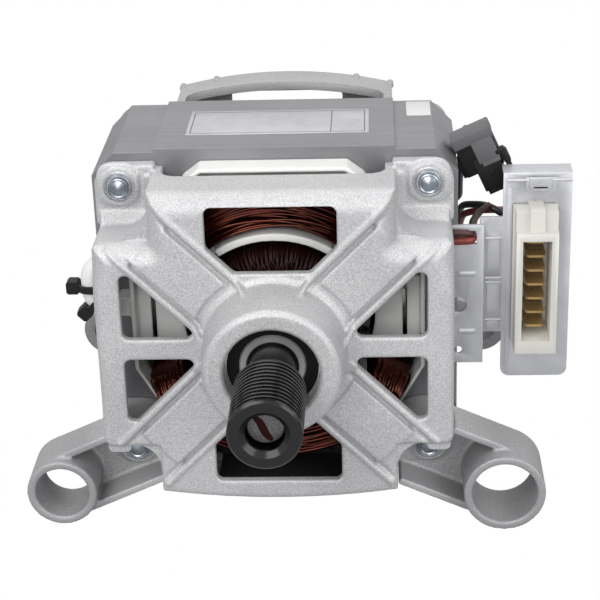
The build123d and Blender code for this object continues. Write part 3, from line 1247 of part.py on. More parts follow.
def terminal_bracket():
    """Pressed sheet: strip on the stack's face, jog, embossed arm and the plug plate with its flange."""
    strip, plate = bracket_planes()
    outline = block(STRIP_INNER_X, STRIP_OUTER_X, strip, strip + SHEET, STRIP_BOTTOM_Z, STRIP_TOP_Z)
    win_w, win_h = STRIP_WINDOW
    win_x = STRIP_OUTER_X - SHEET - win_w / 2 - SHEET
    outline -= block(win_x - win_w / 2, win_x + win_w / 2, strip - OVERRUN, strip + OVERRUN,
                     STRIP_WINDOW_Z - win_h / 2, STRIP_WINDOW_Z + win_h / 2)
    outline -= rod(STRIP_HOLE_X, STRIP_HOLE_Z, STRIP_HOLE_RADIUS, strip - OVERRUN, strip + OVERRUN)
    outline -= rod(STRIP_HOLE_X, STRIP_SMALL_HOLE_Z, STRIP_SMALL_HOLE_RADIUS, strip - OVERRUN, strip + OVERRUN)
    for z in STRIP_SCREW_Z:
        outline -= rod(STRIP_SCREW_X, z, STRIP_SCREW_RADIUS + SEAT_GAP, strip - OVERRUN, strip + OVERRUN)
    jog_bottom = max(STRIP_BOTTOM_Z, ARM_BOTTOM_Z)
    outline += block(STRIP_OUTER_X - SHEET, STRIP_OUTER_X, strip, plate + SHEET, jog_bottom, STRIP_TOP_Z)
    outline += block(STRIP_OUTER_X - SHEET, PLATE_LEFT_X + SINK, plate, plate + SHEET, ARM_BOTTOM_Z, ARM_TOP_Z)
    sheet = Sketch() + Pos((PLATE_LEFT_X + PLATE_RIGHT_X) / 2, (PLATE_TOP_Z + PLATE_BOTTOM_Z) / 2) * Rectangle(
        PLATE_RIGHT_X - PLATE_LEFT_X, PLATE_TOP_Z - PLATE_BOTTOM_Z)
    low = sheet.vertices().group_by(Axis.Y)[0]
    sheet = fillet(low, PLATE_CORNER)
    outline += prism(sheet, plate, plate + SHEET)
    outline += block(PLATE_LEFT_X, PLATE_RIGHT_X, plate, plate + TOP_FLANGE_DEPTH, PLATE_TOP_Z - SHEET, PLATE_TOP_Z)
    ledges = PANEL_EDGES_Z
    for top, bottom in zip(ledges[1::2], ledges[2::2] + (ARM_BOTTOM_Z + SHEET,)):
        panel = block(STRIP_OUTER_X + SHEET, PLATE_LEFT_X - SHEET / 2, plate - PANEL_EMBOSS, plate + SINK, bottom, top)
        outline += fillet(panel.edges().filter_by(Axis.Y), PANEL_ROUND)
    outline += block(BEAD_X - BEAD_HALF, BEAD_X + BEAD_HALF, plate - PANEL_EMBOSS, plate + SINK, BEAD_BOTTOM_Z, BEAD_TOP_Z)
    lance = Sketch() + Pos(LANCE_X, PLATE_TOP_Z - SHEET) * Circle(LANCE_DROP)
    lance -= Pos(LANCE_X, PLATE_TOP_Z - SHEET) * Circle(LANCE_DROP - LANCE_SLOT)
    lance = lance & (Pos(LANCE_X, PLATE_TOP_Z - SHEET - LANCE_DROP / 2 - LANCE_SLOT) * Rectangle(LANCE_HALF * 4, LANCE_DROP))
    outline -= prism(lance, plate - OVERRUN, plate + SHEET + SINK)
    outline -= plug_body(LOOSE_GAP)
    return outline


def strip_screws():
    """Two screws that hold the strip to the stack."""
    strip = bracket_planes()[0]
    screws = []
    for z in STRIP_SCREW_Z:
        screw = rod(STRIP_SCREW_X, z, STRIP_SCREW_RADIUS, strip, strip + SHEET + STRIP_SCREW_DEPTH)
        screws.append(screw + rod(STRIP_SCREW_X, z, STRIP_SCREW_HEAD, strip - STRIP_SCREW_HEAD_HEIGHT, strip))
    return screws


def plug_body(margin):
    """Outer block of the plug housing, grown all round by a margin for the sheet's cut-out."""
    plate = bracket_planes()[1]
    half = PLUG_WIDTH / 2 + margin
    return block(PLUG_X - half, PLUG_X + half, plate - PLUG_AHEAD, plate + SHEET + PLUG_BEHIND,
                 PLUG_BOTTOM_Z - margin, PLUG_TOP_Z + margin)


def terminal_housing():
    """Moulded plug housing with its socket, latch ramp and stepped upper part."""
    plate = bracket_planes()[1]
    front = plate - PLUG_AHEAD
    floor = plate + SHEET + PLUG_BEHIND - SOCKET_FLOOR
    body = plug_body(0)
    half = SOCKET_WIDTH / 2
    body -= block(PLUG_X - half, PLUG_X + half, front - OVERRUN, floor, SOCKET_BOTTOM_Z, SOCKET_TOP_Z)
    wide = PLUG_WIDTH / 2 + OVERRUN
    body -= block(PLUG_X - wide, PLUG_X + wide, front - OVERRUN, front + PLUG_STEP_DEPTH,
                  PLUG_STEP_Z + LATCH_RISE + LATCH_PROUD, PLUG_TOP_Z + OVERRUN)
    ramp = LATCH_WIDTH / 2
    body += block(PLUG_X - ramp, PLUG_X + ramp, front + PLUG_STEP_DEPTH - LATCH_PROUD, plate,
                  SOCKET_TOP_Z + LATCH_RISE, PLUG_TOP_Z + LATCH_RISE)
    flange = margin_flange()
    body += flange
    for z in blade_heights():
        body -= blade(z, FIT_GAP)
    return body


def margin_flange():
    """Ribs of the housing that lie on the sheet's front face, one along each side."""
    plate = bracket_planes()[1]
    half = PLUG_WIDTH / 2
    ribs = None
    for side in (-1, 1):
        rib = block(PLUG_X + side * (half - SINK), PLUG_X + side * (half + PLUG_RIB), plate - SHEET, plate,
                    PLUG_BOTTOM_Z, PLUG_TOP_Z)
        ribs = rib if ribs is None else ribs + rib
    return ribs


def blade_heights():
    """Heights of the blades, top to bottom."""
    top = BLADE_MIDDLE_Z + BLADE_PITCH * (BLADE_COUNT - 1) / 2
    return [top - BLADE_PITCH * i for i in range(BLADE_COUNT)]


def blade(z, margin):
    """One flat blade with a narrowed lead end."""
    plate = bracket_planes()[1]
    tip = plate - PLUG_AHEAD + BLADE_RECESS
    tail = plate + SHEET + PLUG_BEHIND + BLADE_TAIL
    half = BLADE_WIDTH / 2 + margin
    outline = make_face(Polyline((PLUG_X - half + BLADE_POINT, tip), (PLUG_X + half - BLADE_POINT, tip),
                                 (PLUG_X + half, tip + BLADE_POINT), (PLUG_X + half, tail),
                                 (PLUG_X - half, tail), (PLUG_X - half, tip + BLADE_POINT), close=True))
    return Pos(0, 0, z) * extrude(outline, amount=BLADE_THICKNESS / 2 + margin, both=True)


def terminals():
    """The seven blades."""
    return [blade(z, 0) for z in blade_heights()]


# In-line connector

def clip_place(across, along):
    """A place on the connector's tilted axes, across it and down along its plug."""
    tilt = math.radians(CLIP_TILT)
    x = CLIP_X + across * math.cos(tilt) + along * math.sin(tilt)
    z = CLIP_Z + across * math.sin(tilt) - along * math.cos(tilt)
    return x, z


def clip_middle():
    """Middle station of the connector, which hangs behind the plate's flange."""
    return bracket_planes()[1] + TOP_FLANGE_DEPTH + CLIP_BEHIND + CLIP_LID[1] / 2


def clip_block(size, across, along):
    """A box of the connector with softened edges along the shaft's direction."""
    x, z = clip_place(across, along)
    shape = Box(*size)
    shape = chamfer(shape.edges().filter_by(Axis.Y), CLIP_EDGE)
    return Pos(x, clip_middle(), z) * Rot(0, -CLIP_TILT, 0) * shape


def harness_connector():
    """Tilted connector: housing, raised lid and the plug that hangs from it."""
    body = clip_block(CLIP_BODY, 0, 0)
    body += clip_block(CLIP_LID, 0, -CLIP_BODY[2] / 2)
    across, along = CLIP_PLUG_SHIFT
    return body + clip_block(CLIP_PLUG, across, along)


def harness_latch():
    """Latch lever beside the connector's plug, with the strap that rests on the plate's flange."""
    across, along = CLIP_LATCH_SHIFT
    body = clip_block(CLIP_LATCH, across, along)
    end = clip_middle()
    start = end - CLIP_LID[1] / 2 - STRAP_WIDTH
    right = PLATE_LEFT_X + STRAP_REACH
    top = PLATE_TOP_Z + STRAP_THICKNESS
    strap = block(PLATE_LEFT_X, right, start, start + STRAP_WIDTH - LOOSE_GAP, PLATE_TOP_Z, top)
    strap += block(right - STRAP_LINK, right, start, end, PLATE_TOP_Z, top)
    return body + strap


# Leads

def tube(points, radius):
    """A round lead along straight runs joined by the largest tangent arcs that fit them."""
    places = [Vector(*p) for p in points]
    radii = []
    for before, corner, after in zip(places, places[1:], places[2:]):
        first = corner - before
        second = after - corner
        turn = math.radians(first.get_angle(second))
        radii.append(ARC_SHARE * min(first.length, second.length) / math.tan(turn / 2))
    print("lead radii", [round(r, 1) for r in radii])
    path = FilletPolyline(*points, radius=radii)
    section = Plane(origin=path @ 0, z_dir=path % 0) * Circle(radius)
    return sweep(section, path=path)


def lead_end(z):
    """Last points of a lead: round to the rear frame's side and square onto it."""
    y = STATOR_REAR_Y + LEAD_END_BACK
    return (STATOR_HALF_WIDTH - LEAD_TURN_INSET, y, z), (FRAME_HALF_X + FIT_GAP, y, z)


def routed(route):
    """Points of a route, from its reach, share of the stack's length and height."""
    return tuple((STATOR_HALF_WIDTH + reach, STATOR_FRONT_Y + STACK_LENGTH * share, z) for reach, share, z in route)


def blade_tail():
    """Station where the blades end behind the housing."""
    return bracket_planes()[1] + SHEET + PLUG_BEHIND + BLADE_TAIL


def lead_red():
    """Red-brown lead from the upper blade."""
    start = (PLUG_X, blade_tail() + FIT_GAP, blade_heights()[0])
    return tube((start,) + routed(RED_ROUTE) + lead_end(LEAD_END_Z[0]), LEAD_RADIUS)


def lead_black():
    """Black lead from the second blade."""
    start = (PLUG_X, blade_tail() + FIT_GAP, blade_heights()[1])
    return tube((start,) + routed(BLACK_ROUTE) + lead_end(LEAD_END_Z[1]), LEAD_RADIUS)


def lead_clip():
    """Black lead from the in-line connector."""
    x, z = clip_place(-CLIP_BODY[0] / 4, 0)
    back = clip_middle() + CLIP_BODY[1] / 2
    start = ((x, back + FIT_GAP, z), (x, back + CLIP_BODY[1] / 2, z))
    return tube(start + routed(CLIP_ROUTE) + lead_end(LEAD_END_Z[2]), LEAD_RADIUS)


def sleeve_frame():
    """Middle station, lower height and outer reach of the sleeved loop."""
    y = (FRONT_FACE_Y + FRONT_BAND + STATOR_FRONT_Y) / 2
    return y, FRAME_LUG_Z, -FRAME_HALF_X - SLEEVE_REACH


def lead_sleeve():
    """White sleeved lead that loops out of the gap and back to the lug."""
    y, low, outer = sleeve_frame()
    high = low + SLEEVE_RISE
    path = FilletPolyline((-FRAME_HALF_X - FIT_GAP, y, high), (outer, y, high), (outer, y, low),
                          (-FRAME_HALF_X - FRAME_LUG[0] - FIT_GAP, y, low), radius=SLEEVE_BEND)
    section = Plane(origin=path @ 0, z_dir=path % 0) * Circle(SLEEVE_RADIUS)
    return sweep(section, path=path)


def cable_tie():
    """One tie round an upright sleeve: strap and lock head, the head towards minus X."""
    inner = SLEEVE_RADIUS + TIE_SLACK
    strap = Cylinder(inner + TIE_THICKNESS, TIE_WIDTH) - Cylinder(inner, TIE_WIDTH)
    head = Pos(-inner - TIE_HEAD[0] / 2, 0, 0) * Box(*TIE_HEAD)
    return strap + chamfer(head.edges().filter_by(Axis.Y), CLIP_EDGE)


def cable_ties():
    """Two ties on the sleeved loop: one on its upright run, one on its lower bend."""
    y, low, outer = sleeve_frame()
    upright = Pos(outer, y, low + SLEEVE_BEND + TIE_DROP) * cable_tie()
    bend = SLEEVE_BEND * (1 - math.sqrt(0.5))
    lower = Pos(outer + bend, y, low + bend) * Rot(0, -45, 0) * cable_tie()
    return [upright, lower]


def main():
    """Builds and writes every sub-part."""
    nodes = {
        "front_bracket": front_bracket(),
        "rear_bracket": rear_bracket(),
        "stator_core": stator_core(),
        "front_insulator": front_insulator(),
        "rear_insulator": insulator(STATOR_REAR_Y, 1),
        "field_coil_top_core": coil_core(1),
        "field_coil_bottom_core": coil_core(-1),
        "field_coil_top_wire": coil_wire(1),
        "field_coil_bottom_wire": coil_wire(-1),
        "through_bolts": through_bolts(),
        "bolt_washers": bolt_washers(),
        "bolt_nuts": bolt_nuts(),
        "shaft": shaft(),
        "pulley": pulley(),
        "rotor_core": rotor_core(),
        "rotor_winding_front": rotor_winding(rotor_span()[0], -1),
        "rotor_winding_rear": rotor_winding(rotor_span()[1], 1),
        "commutator_hub": commutator_hub(),
        "commutator_bars": commutator_bars(),
        "bearing_snap_ring": snap_ring(),
        "wave_washer": wave_washer(),
        "brush_holder_left": brush_holder(-1),
        "brush_holder_right": brush_holder(1),
        "brush_left": brush(-1),
        "brush_right": brush(1),
        "brush_spring_left": brush_spring(-1),
        "brush_spring_right": brush_spring(1),
        "brush_holder_screws": holder_screws(),
        "tacho_magnet": tacho_magnet(),
        "tacho_coil": tacho_coil(),
        "tacho_cover": tacho_cover(),
        "tacho_screws": tacho_screws(),
        "terminal_bracket": terminal_bracket(),
        "terminal_bracket_screws": strip_screws(),
        "terminal_housing": terminal_housing(),
        "terminals": terminals(),
        "harness_connector": harness_connector(),
        "harness_latch": harness_latch(),
        "lead_red": lead_red(),
        "lead_black": lead_black(),
        "lead_clip": lead_clip(),
        "lead_sleeve": lead_sleeve(),
        "cable_ties": cable_ties(),
    }
    for name, bearing in (("front_bearing", front_bearing()), ("rear_bearing", rear_bearing())):
        nodes[name + "_outer_ring"] = bearing.outer_ring()
        nodes[name + "_inner_ring"] = bearing.inner_ring()
        nodes[name + "_balls"] = bearing.ball_set()
        nodes[name + "_cage"] = bearing.cage()
        nodes[name + "_seals"] = bearing.seals()
    report_coil_gap()
    for name, shape in nodes.items():
        solids = shape if isinstance(shape, list) else shape.solids()
        export_step(Compound(children=list(solids)) if len(solids) > 1 else solids[0], f"parts/{name}.step")
        print(name, len(solids))


main()
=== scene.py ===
import math
import random

import bpy
from mathutils import Matrix, Vector


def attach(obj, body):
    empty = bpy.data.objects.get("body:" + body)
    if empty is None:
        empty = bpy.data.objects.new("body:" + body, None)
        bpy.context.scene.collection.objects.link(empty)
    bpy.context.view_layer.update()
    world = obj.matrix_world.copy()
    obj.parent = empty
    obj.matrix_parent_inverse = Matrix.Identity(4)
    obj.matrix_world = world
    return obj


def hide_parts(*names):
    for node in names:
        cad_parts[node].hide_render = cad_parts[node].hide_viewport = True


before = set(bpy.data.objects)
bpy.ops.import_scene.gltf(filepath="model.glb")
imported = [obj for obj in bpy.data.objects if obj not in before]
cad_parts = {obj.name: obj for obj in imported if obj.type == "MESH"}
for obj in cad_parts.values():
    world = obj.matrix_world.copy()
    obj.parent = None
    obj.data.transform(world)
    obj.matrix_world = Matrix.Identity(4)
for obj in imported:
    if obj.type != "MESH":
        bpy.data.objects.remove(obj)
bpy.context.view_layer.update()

# Lengths in the geometry below are millimetres of the part's own frame
MM = 0.001
DIAGONAL = math.sqrt(0.5)

# Camera, solved from the photograph: millimetres and degrees
CAMERA_PLACE = (34.366, -464.93, 242.508)
CAMERA_YAW = -2.886
CAMERA_PITCH = 23.834
CAMERA_ROLL = -1.854
LENS = 105.2
SENSOR = 36.0
NEAR_CLIP = 0.01

# Lamps: name, place and target in metres, width and height, watts
LIGHTS = (
    ("key", (-0.5, -0.5, 0.8), (0, 0.06, 0), (0.7, 0.6), 6.2),
    ("fill", (0.75, -0.5, 0.4), (0, 0.06, 0), (0.5, 0.7), 4.0),
    ("top", (0.05, 0.25, 0.9), (0, 0.1, 0), (0.8, 0.5), 2.9),
    ("front", (-0.1, -0.85, 0.42), (0, 0.06, 0), (0.5, 0.35), 3.3),
)

# Stage
FLOOR_SIZE = 6
FLOOR_Z = -0.0725
FLOOR_BOUNCE = (0.5, 0.5, 0.51, 1)
SKY_COLOUR = (0.96, 0.98, 1.0, 1)
SKY_STRENGTH = 0.31
WHITE = (1, 1, 1, 1)


def deselect():
    if bpy.context.object and bpy.context.object.mode != "OBJECT":
        bpy.ops.object.mode_set(mode="OBJECT")
    bpy.ops.object.select_all(action="DESELECT")


def pick(obj):
    deselect()
    obj.select_set(True)
    bpy.context.view_layer.objects.active = obj


def camera():
    yaw, pitch, roll = (math.radians(v) for v in (CAMERA_YAW, CAMERA_PITCH, CAMERA_ROLL))
    ahead = Vector((math.sin(yaw) * math.cos(pitch), math.cos(yaw) * math.cos(pitch), -math.sin(pitch)))
    right = ahead.cross(Vector((0, 0, 1))).normalized()
    up = right.cross(ahead)
    right, up = right * math.cos(roll) + up * math.sin(roll), up * math.cos(roll) - right * math.sin(roll)
    turn = Matrix((right, up, -ahead)).transposed().to_4x4()
    data = bpy.data.cameras.new("photo_camera")
    data.lens = LENS
    data.sensor_width = SENSOR
    data.clip_start = NEAR_CLIP
    obj = bpy.data.objects.new("photo_camera", data)
    obj.matrix_world = Matrix.Translation(Vector(CAMERA_PLACE) * MM) @ turn
    bpy.context.scene.collection.objects.link(obj)
    bpy.context.scene.camera = obj


def area_light(name, place, target, size, watts):
    data = bpy.data.lights.new(name, "AREA")
    data.shape = "RECTANGLE"
    data.size, data.size_y = size
    data.energy = watts
    obj = bpy.data.objects.new(name, data)
    way = Vector(target) - Vector(place)
    obj.matrix_world = Matrix.Translation(place) @ way.to_track_quat("-Z", "Y").to_matrix().to_4x4()
    bpy.context.scene.collection.objects.link(obj)


def mixed_shaders(tree, rays, dark, bright):
    """Mixes two shaders of a tree by a light path value."""
    join = tree.nodes.new("ShaderNodeMixShader")
    tree.links.new(rays, join.inputs["Fac"])
    tree.links.new(dark, join.inputs[1])
    tree.links.new(bright, join.inputs[2])
    return join.outputs["Shader"]


def plain_stage():
    """White floor and backdrop: pure white to the camera, softer as a source of light."""
    material = bpy.data.materials.new("stage_white")
    material.use_nodes = True
    tree = material.node_tree
    tree.nodes.clear()
    out = tree.nodes.new("ShaderNodeOutputMaterial")
    path = tree.nodes.new("ShaderNodeLightPath")
    white = tree.nodes.new("ShaderNodeEmission")
    white.inputs["Color"].default_value = WHITE
    white.inputs["Strength"].default_value = 1.0
    matte = tree.nodes.new("ShaderNodeBsdfDiffuse")
    matte.inputs["Color"].default_value = FLOOR_BOUNCE
    shown = mixed_shaders(tree, path.outputs["Is Camera Ray"], matte.outputs["BSDF"], white.outputs["Emission"])
    tree.links.new(shown, out.inputs["Surface"])
    deselect()
    bpy.ops.mesh.primitive_plane_add(size=FLOOR_SIZE, location=(0, 0, FLOOR_Z))
    floor = bpy.context.object
    floor.name = "stage_floor"
    floor.data.materials.append(material)
    world = bpy.data.worlds.new("studio")
    world.use_nodes = True
    sky = world.node_tree
    back = sky.nodes["Background"]
    back.inputs["Color"].default_value = SKY_COLOUR
    back.inputs["Strength"].default_value = SKY_STRENGTH
    plain = sky.nodes.new("ShaderNodeBackground")
    plain.inputs["Color"].default_value = WHITE
    ray = sky.nodes.new("ShaderNodeLightPath")
    either = sky.nodes.new("ShaderNodeMath")
    either.operation = "MAXIMUM"
    sky.links.new(ray.outputs["Is Camera Ray"], either.inputs[0])
    sky.links.new(ray.outputs["Is Glossy Ray"], either.inputs[1])
    shown = mixed_shaders(sky, either.outputs["Value"], back.outputs["Background"], plain.outputs["Background"])
    sky.links.new(shown, sky.nodes["World Output"].inputs["Surface"])
    bpy.context.scene.world = world


# Materials

class Nodes:
    """A small helper that adds nodes and links to one material."""

    SOCKETS = {"colour": "Base Color", "metal": "Metallic", "rough": "Roughness", "coat": "Coat Weight",
               "coat_rough": "Coat Roughness", "specular": "Specular IOR Level", "subsurface": "Subsurface Weight"}

    def __init__(self, name):
        self.material = bpy.data.materials.new(name)
        self.material.use_nodes = True
        self.tree = self.material.node_tree
        self.shader = self.tree.nodes["Principled BSDF"]
        self.coords = self.tree.nodes.new("ShaderNodeTexCoord").outputs["Object"]

    def add(self, kind, **settings):
        node = self.tree.nodes.new(kind)
        for key, value in settings.items():
            setattr(node, key, value)
        return node

    def feed(self, socket, value):
        """Sets a socket to a number or colour, or links an output to it."""
        if isinstance(value, (int, float)):
            socket.default_value = value
        elif isinstance(value, tuple):
            socket.default_value = (*value, 1)
        else:
            self.tree.links.new(value, socket)

    def axis(self, letter):
        """One coordinate of the part's frame, in metres."""
        split = self.add("ShaderNodeSeparateXYZ")
        self.feed(split.inputs["Vector"], self.coords)
        return split.outputs[letter]

    def shaft_radius(self):
        """Distance from the shaft's axis, in metres."""
        flat = self.add("ShaderNodeVectorMath", operation="MULTIPLY")
        flat.inputs[1].default_value = (1, 0, 1)
        self.feed(flat.inputs[0], self.coords)
        reach = self.add("ShaderNodeVectorMath", operation="LENGTH")
        self.feed(reach.inputs[0], flat.outputs["Vector"])
        return reach.outputs["Value"]

    def stretched(self, scale):
        node = self.add("ShaderNodeMapping")
        node.inputs["Scale"].default_value = scale
        self.feed(node.inputs["Vector"], self.coords)
        return node.outputs["Vector"]

    def noise(self, scale, detail=2.0, vector=None, roughness=0.5):
        node = self.add("ShaderNodeTexNoise")
        node.inputs["Scale"].default_value = scale
        node.inputs["Detail"].default_value = detail
        node.inputs["Roughness"].default_value = roughness
        self.feed(node.inputs["Vector"], vector or self.coords)
        return node.outputs["Fac"]

    def ramp(self, value, stops):
        node = self.add("ShaderNodeValToRGB")
        points = node.color_ramp.elements
        while len(points) < len(stops):
            points.new(0.5)
        for point, (place, colour) in zip(points, stops):
            point.position = place
            point.color = (*colour, 1)
        self.feed(node.inputs["Fac"], value)
        return node.outputs["Color"]

    def spread(self, value, low, high, to_low, to_high):
        node = self.add("ShaderNodeMapRange")
        for key, number in (("From Min", low), ("From Max", high), ("To Min", to_low), ("To Max", to_high)):
            node.inputs[key].default_value = number
        self.feed(node.inputs["Value"], value)
        return node.outputs["Result"]

    def mix(self, factor, a, b, blend="MIX"):
        node = self.add("ShaderNodeMix", data_type="RGBA", blend_type=blend)
        for key, value in ((0, factor), (6, a), (7, b)):
            self.feed(node.inputs[key], value)
        return node.outputs[2]

    def calculate(self, operation, *values):
        node = self.add("ShaderNodeMath", operation=operation)
        for socket, value in zip(node.inputs, values):
            self.feed(socket, value)
        return node.outputs[0]

    def bump(self, height, strength, distance):
        node = self.add("ShaderNodeBump")
        node.inputs["Strength"].default_value = strength
        node.inputs["Distance"].default_value = distance
        self.feed(node.inputs["Height"], height)
        self.feed(self.shader.inputs["Normal"], node.outputs["Normal"])

    def set(self, **values):
        for key, value in values.items():
            self.feed(self.shader.inputs[self.SOCKETS[key]], value)
        return self.material


def shaded(colour, share):
    return tuple(v * share for v in colour)


# Blasted die casting: fine grain, broad patches, and painted shade that darkens the legs
CAST_TONES = ((0.30, (0.37, 0.37, 0.375)), (0.50, (0.50, 0.50, 0.505)), (0.74, (0.69, 0.69, 0.695)))
CAST_GRAIN = 2600
CAST_PATCH = 38
LEG_PAINTED_SHADE = (0.70, 0.70, 0.705)
LEG_INNER, LEG_OUTER = 0.045, 0.062
LEG_LOW, LEG_HIGH = -0.042, -0.036


def cast_aluminium(name, light=1.0):
    m = Nodes(name)
    grain = m.noise(CAST_GRAIN, 2, roughness=0.6)
    base = m.ramp(grain, [(place, shaded(tone, light)) for place, tone in CAST_TONES])
    patches = m.ramp(m.noise(CAST_PATCH, 3), [(0.3, (0.90, 0.90, 0.905)), (0.7, (1, 1, 1))])
    colour = m.mix(1.0, base, patches, "MULTIPLY")
    # Painted shade on the legs: the casting darkens from 45 to 62 mm out to the side and from 36 to 42 mm down
    beside = m.spread(m.calculate("ABSOLUTE", m.axis("X")), LEG_INNER, LEG_OUTER, 0.0, 1.0)
    below = m.spread(m.axis("Z"), LEG_LOW, LEG_HIGH, 1.0, 0.0)
    leg_shade_mask = m.calculate("MULTIPLY", beside, below)
    colour = m.mix(leg_shade_mask, colour, m.mix(1.0, colour, LEG_PAINTED_SHADE, "MULTIPLY"))
    m.bump(grain, 0.22, 0.0004)
    return m.set(colour=colour, metal=0.32, rough=m.spread(grain, 0.3, 0.7, 0.58, 0.5))


def plain_metal(name, colour, rough, scale=900, metal=1.0, bump=0.05):
    m = Nodes(name)
    grain = m.noise(scale, 3)
    tint = m.ramp(m.noise(70, 2), [(0.35, shaded(colour, 0.82)), (0.65, colour)])
    m.bump(grain, bump, 0.0004)
    return m.set(colour=tint, metal=metal, rough=m.spread(grain, 0.3, 0.7, rough - 0.06, rough + 0.06))


def galvanised_sheet(name, colour):
    m = Nodes(name)
    lines = m.noise(1.0, 4, vector=m.stretched((120, 120, 90)), roughness=0.7)
    shade = m.ramp(lines, [(0.3, shaded(colour, 0.85)), (0.7, colour)])
    patches = m.ramp(m.noise(60, 2), [(0.3, (0.88, 0.88, 0.88)), (0.7, (1, 1, 1))])
    m.bump(lines, 0.02, 0.0003)
    return m.set(colour=m.mix(1.0, shade, patches, "MULTIPLY"), metal=0.5,
                 rough=m.spread(lines, 0.3, 0.7, 0.36, 0.52))


def plastic(name, colour, rough=0.45, scale=600, bump=0.05, waxy=0.0, specular=0.5):
    m = Nodes(name)
    tint = m.ramp(m.noise(55, 2), [(0.3, shaded(colour, 0.93)), (0.7, colour)])
    m.bump(m.noise(scale, 2), bump, 0.0003)
    if waxy:
        m.shader.inputs["Subsurface Radius"].default_value = (0.003, 0.002, 0.001)
    return m.set(colour=tint, rough=rough, subsurface=waxy, specular=specular)


def enamel(name, colour, rough):
    """Lacquered copper wire."""
    m = Nodes(name)
    tint = m.ramp(m.noise(120, 3), [(0.3, shaded(colour, 0.3)), (0.7, colour)])
    return m.set(colour=tint, metal=0.85, rough=rough, coat=0.2, coat_rough=0.08)


def black_pulley():
    """Black satin with painted shade on the ribs, near-black in the grooves and lightest on the crests, and a plain
    front face.
    """
    groove_radius, crest_radius = 0.0100, 0.01125
    face_front, face_back = -0.0125, -0.0118
    m = Nodes("black_pulley")
    crest = m.spread(m.shaft_radius(), groove_radius, crest_radius, 0.0, 1.0)
    face = m.spread(m.axis("Y"), face_front, face_back, 1.0, 0.0)
    # Painted shade on the ribs: near-black in the grooves, lighter up to the crests
    rib_shade = m.ramp(crest, [(0.25, (0.0012, 0.0012, 0.0012)), (0.8, (0.0025, 0.0025, 0.0026)),
                          (0.97, (0.012, 0.012, 0.0125))])
    shine = m.spread(crest, 0.86, 0.99, 0.004, 0.3)
    m.bump(m.noise(900, 2), 0.03, 0.0002)
    return m.set(colour=m.mix(face, rib_shade, (0.013, 0.013, 0.014)), specular=m.mix(face, shine, (0.3, 0.3, 0.3)),
                 metal=0.0, rough=0.19)


def ground_race():
    """Bearing inner ring: bright ground band outside, and painted shade of the gap round the shaft next to it."""
    dark_end, bright_start = 0.00835, 0.00855
    m = Nodes("ground_race")
    band = m.spread(m.shaft_radius(), dark_end, bright_start, 0.0, 1.0)
    # Inside dark_end the ring is painted near-black: painted shade of the gap between ring and shaft
    return m.set(colour=m.mix(band, (0.006, 0.006, 0.0065), (0.42, 0.42, 0.425)), metal=0.6, rough=0.32)


def dark_shaft():
    """Blackened bar with light specks, and a turned face at its front end."""
    face_front, face_back = -0.0081, -0.0079
    m = Nodes("dark_shaft")
    specks = m.noise(1900, 2, roughness=0.7)
    front = m.spread(m.axis("Y"), face_front, face_back, 1.0, 0.0)
    bar_tone = m.ramp(specks, [(0.55, (0.014, 0.014, 0.015)), (0.75, (0.10, 0.10, 0.104))])
    turned = m.ramp(specks, [(0.3, (0.07, 0.07, 0.072)), (0.7, (0.23, 0.23, 0.235))])
    m.bump(specks, 0.15, 0.0003)
    return m.set(colour=m.mix(front, bar_tone, turned), metal=0.55, rough=0.36)


def laminations(name, colour):
    """Stacked sheets, seen as fine lines across the part's depth."""
    m = Nodes(name)
    sheets = m.noise(1.0, 3, vector=m.stretched((9, 1000, 9)), roughness=0.75)
    shade = m.ramp(sheets, [(0.3, shaded(colour, 0.68)), (0.7, colour)])
    patches = m.ramp(m.noise(35, 3), [(0.3, (0.86, 0.86, 0.88)), (0.7, (1, 1, 1))])
    m.bump(sheets, 0.12, 0.0004)
    return m.set(colour=m.mix(1.0, shade, patches, "MULTIPLY"), metal=0.6,
                 rough=m.spread(sheets, 0.3, 0.7, 0.36, 0.46))


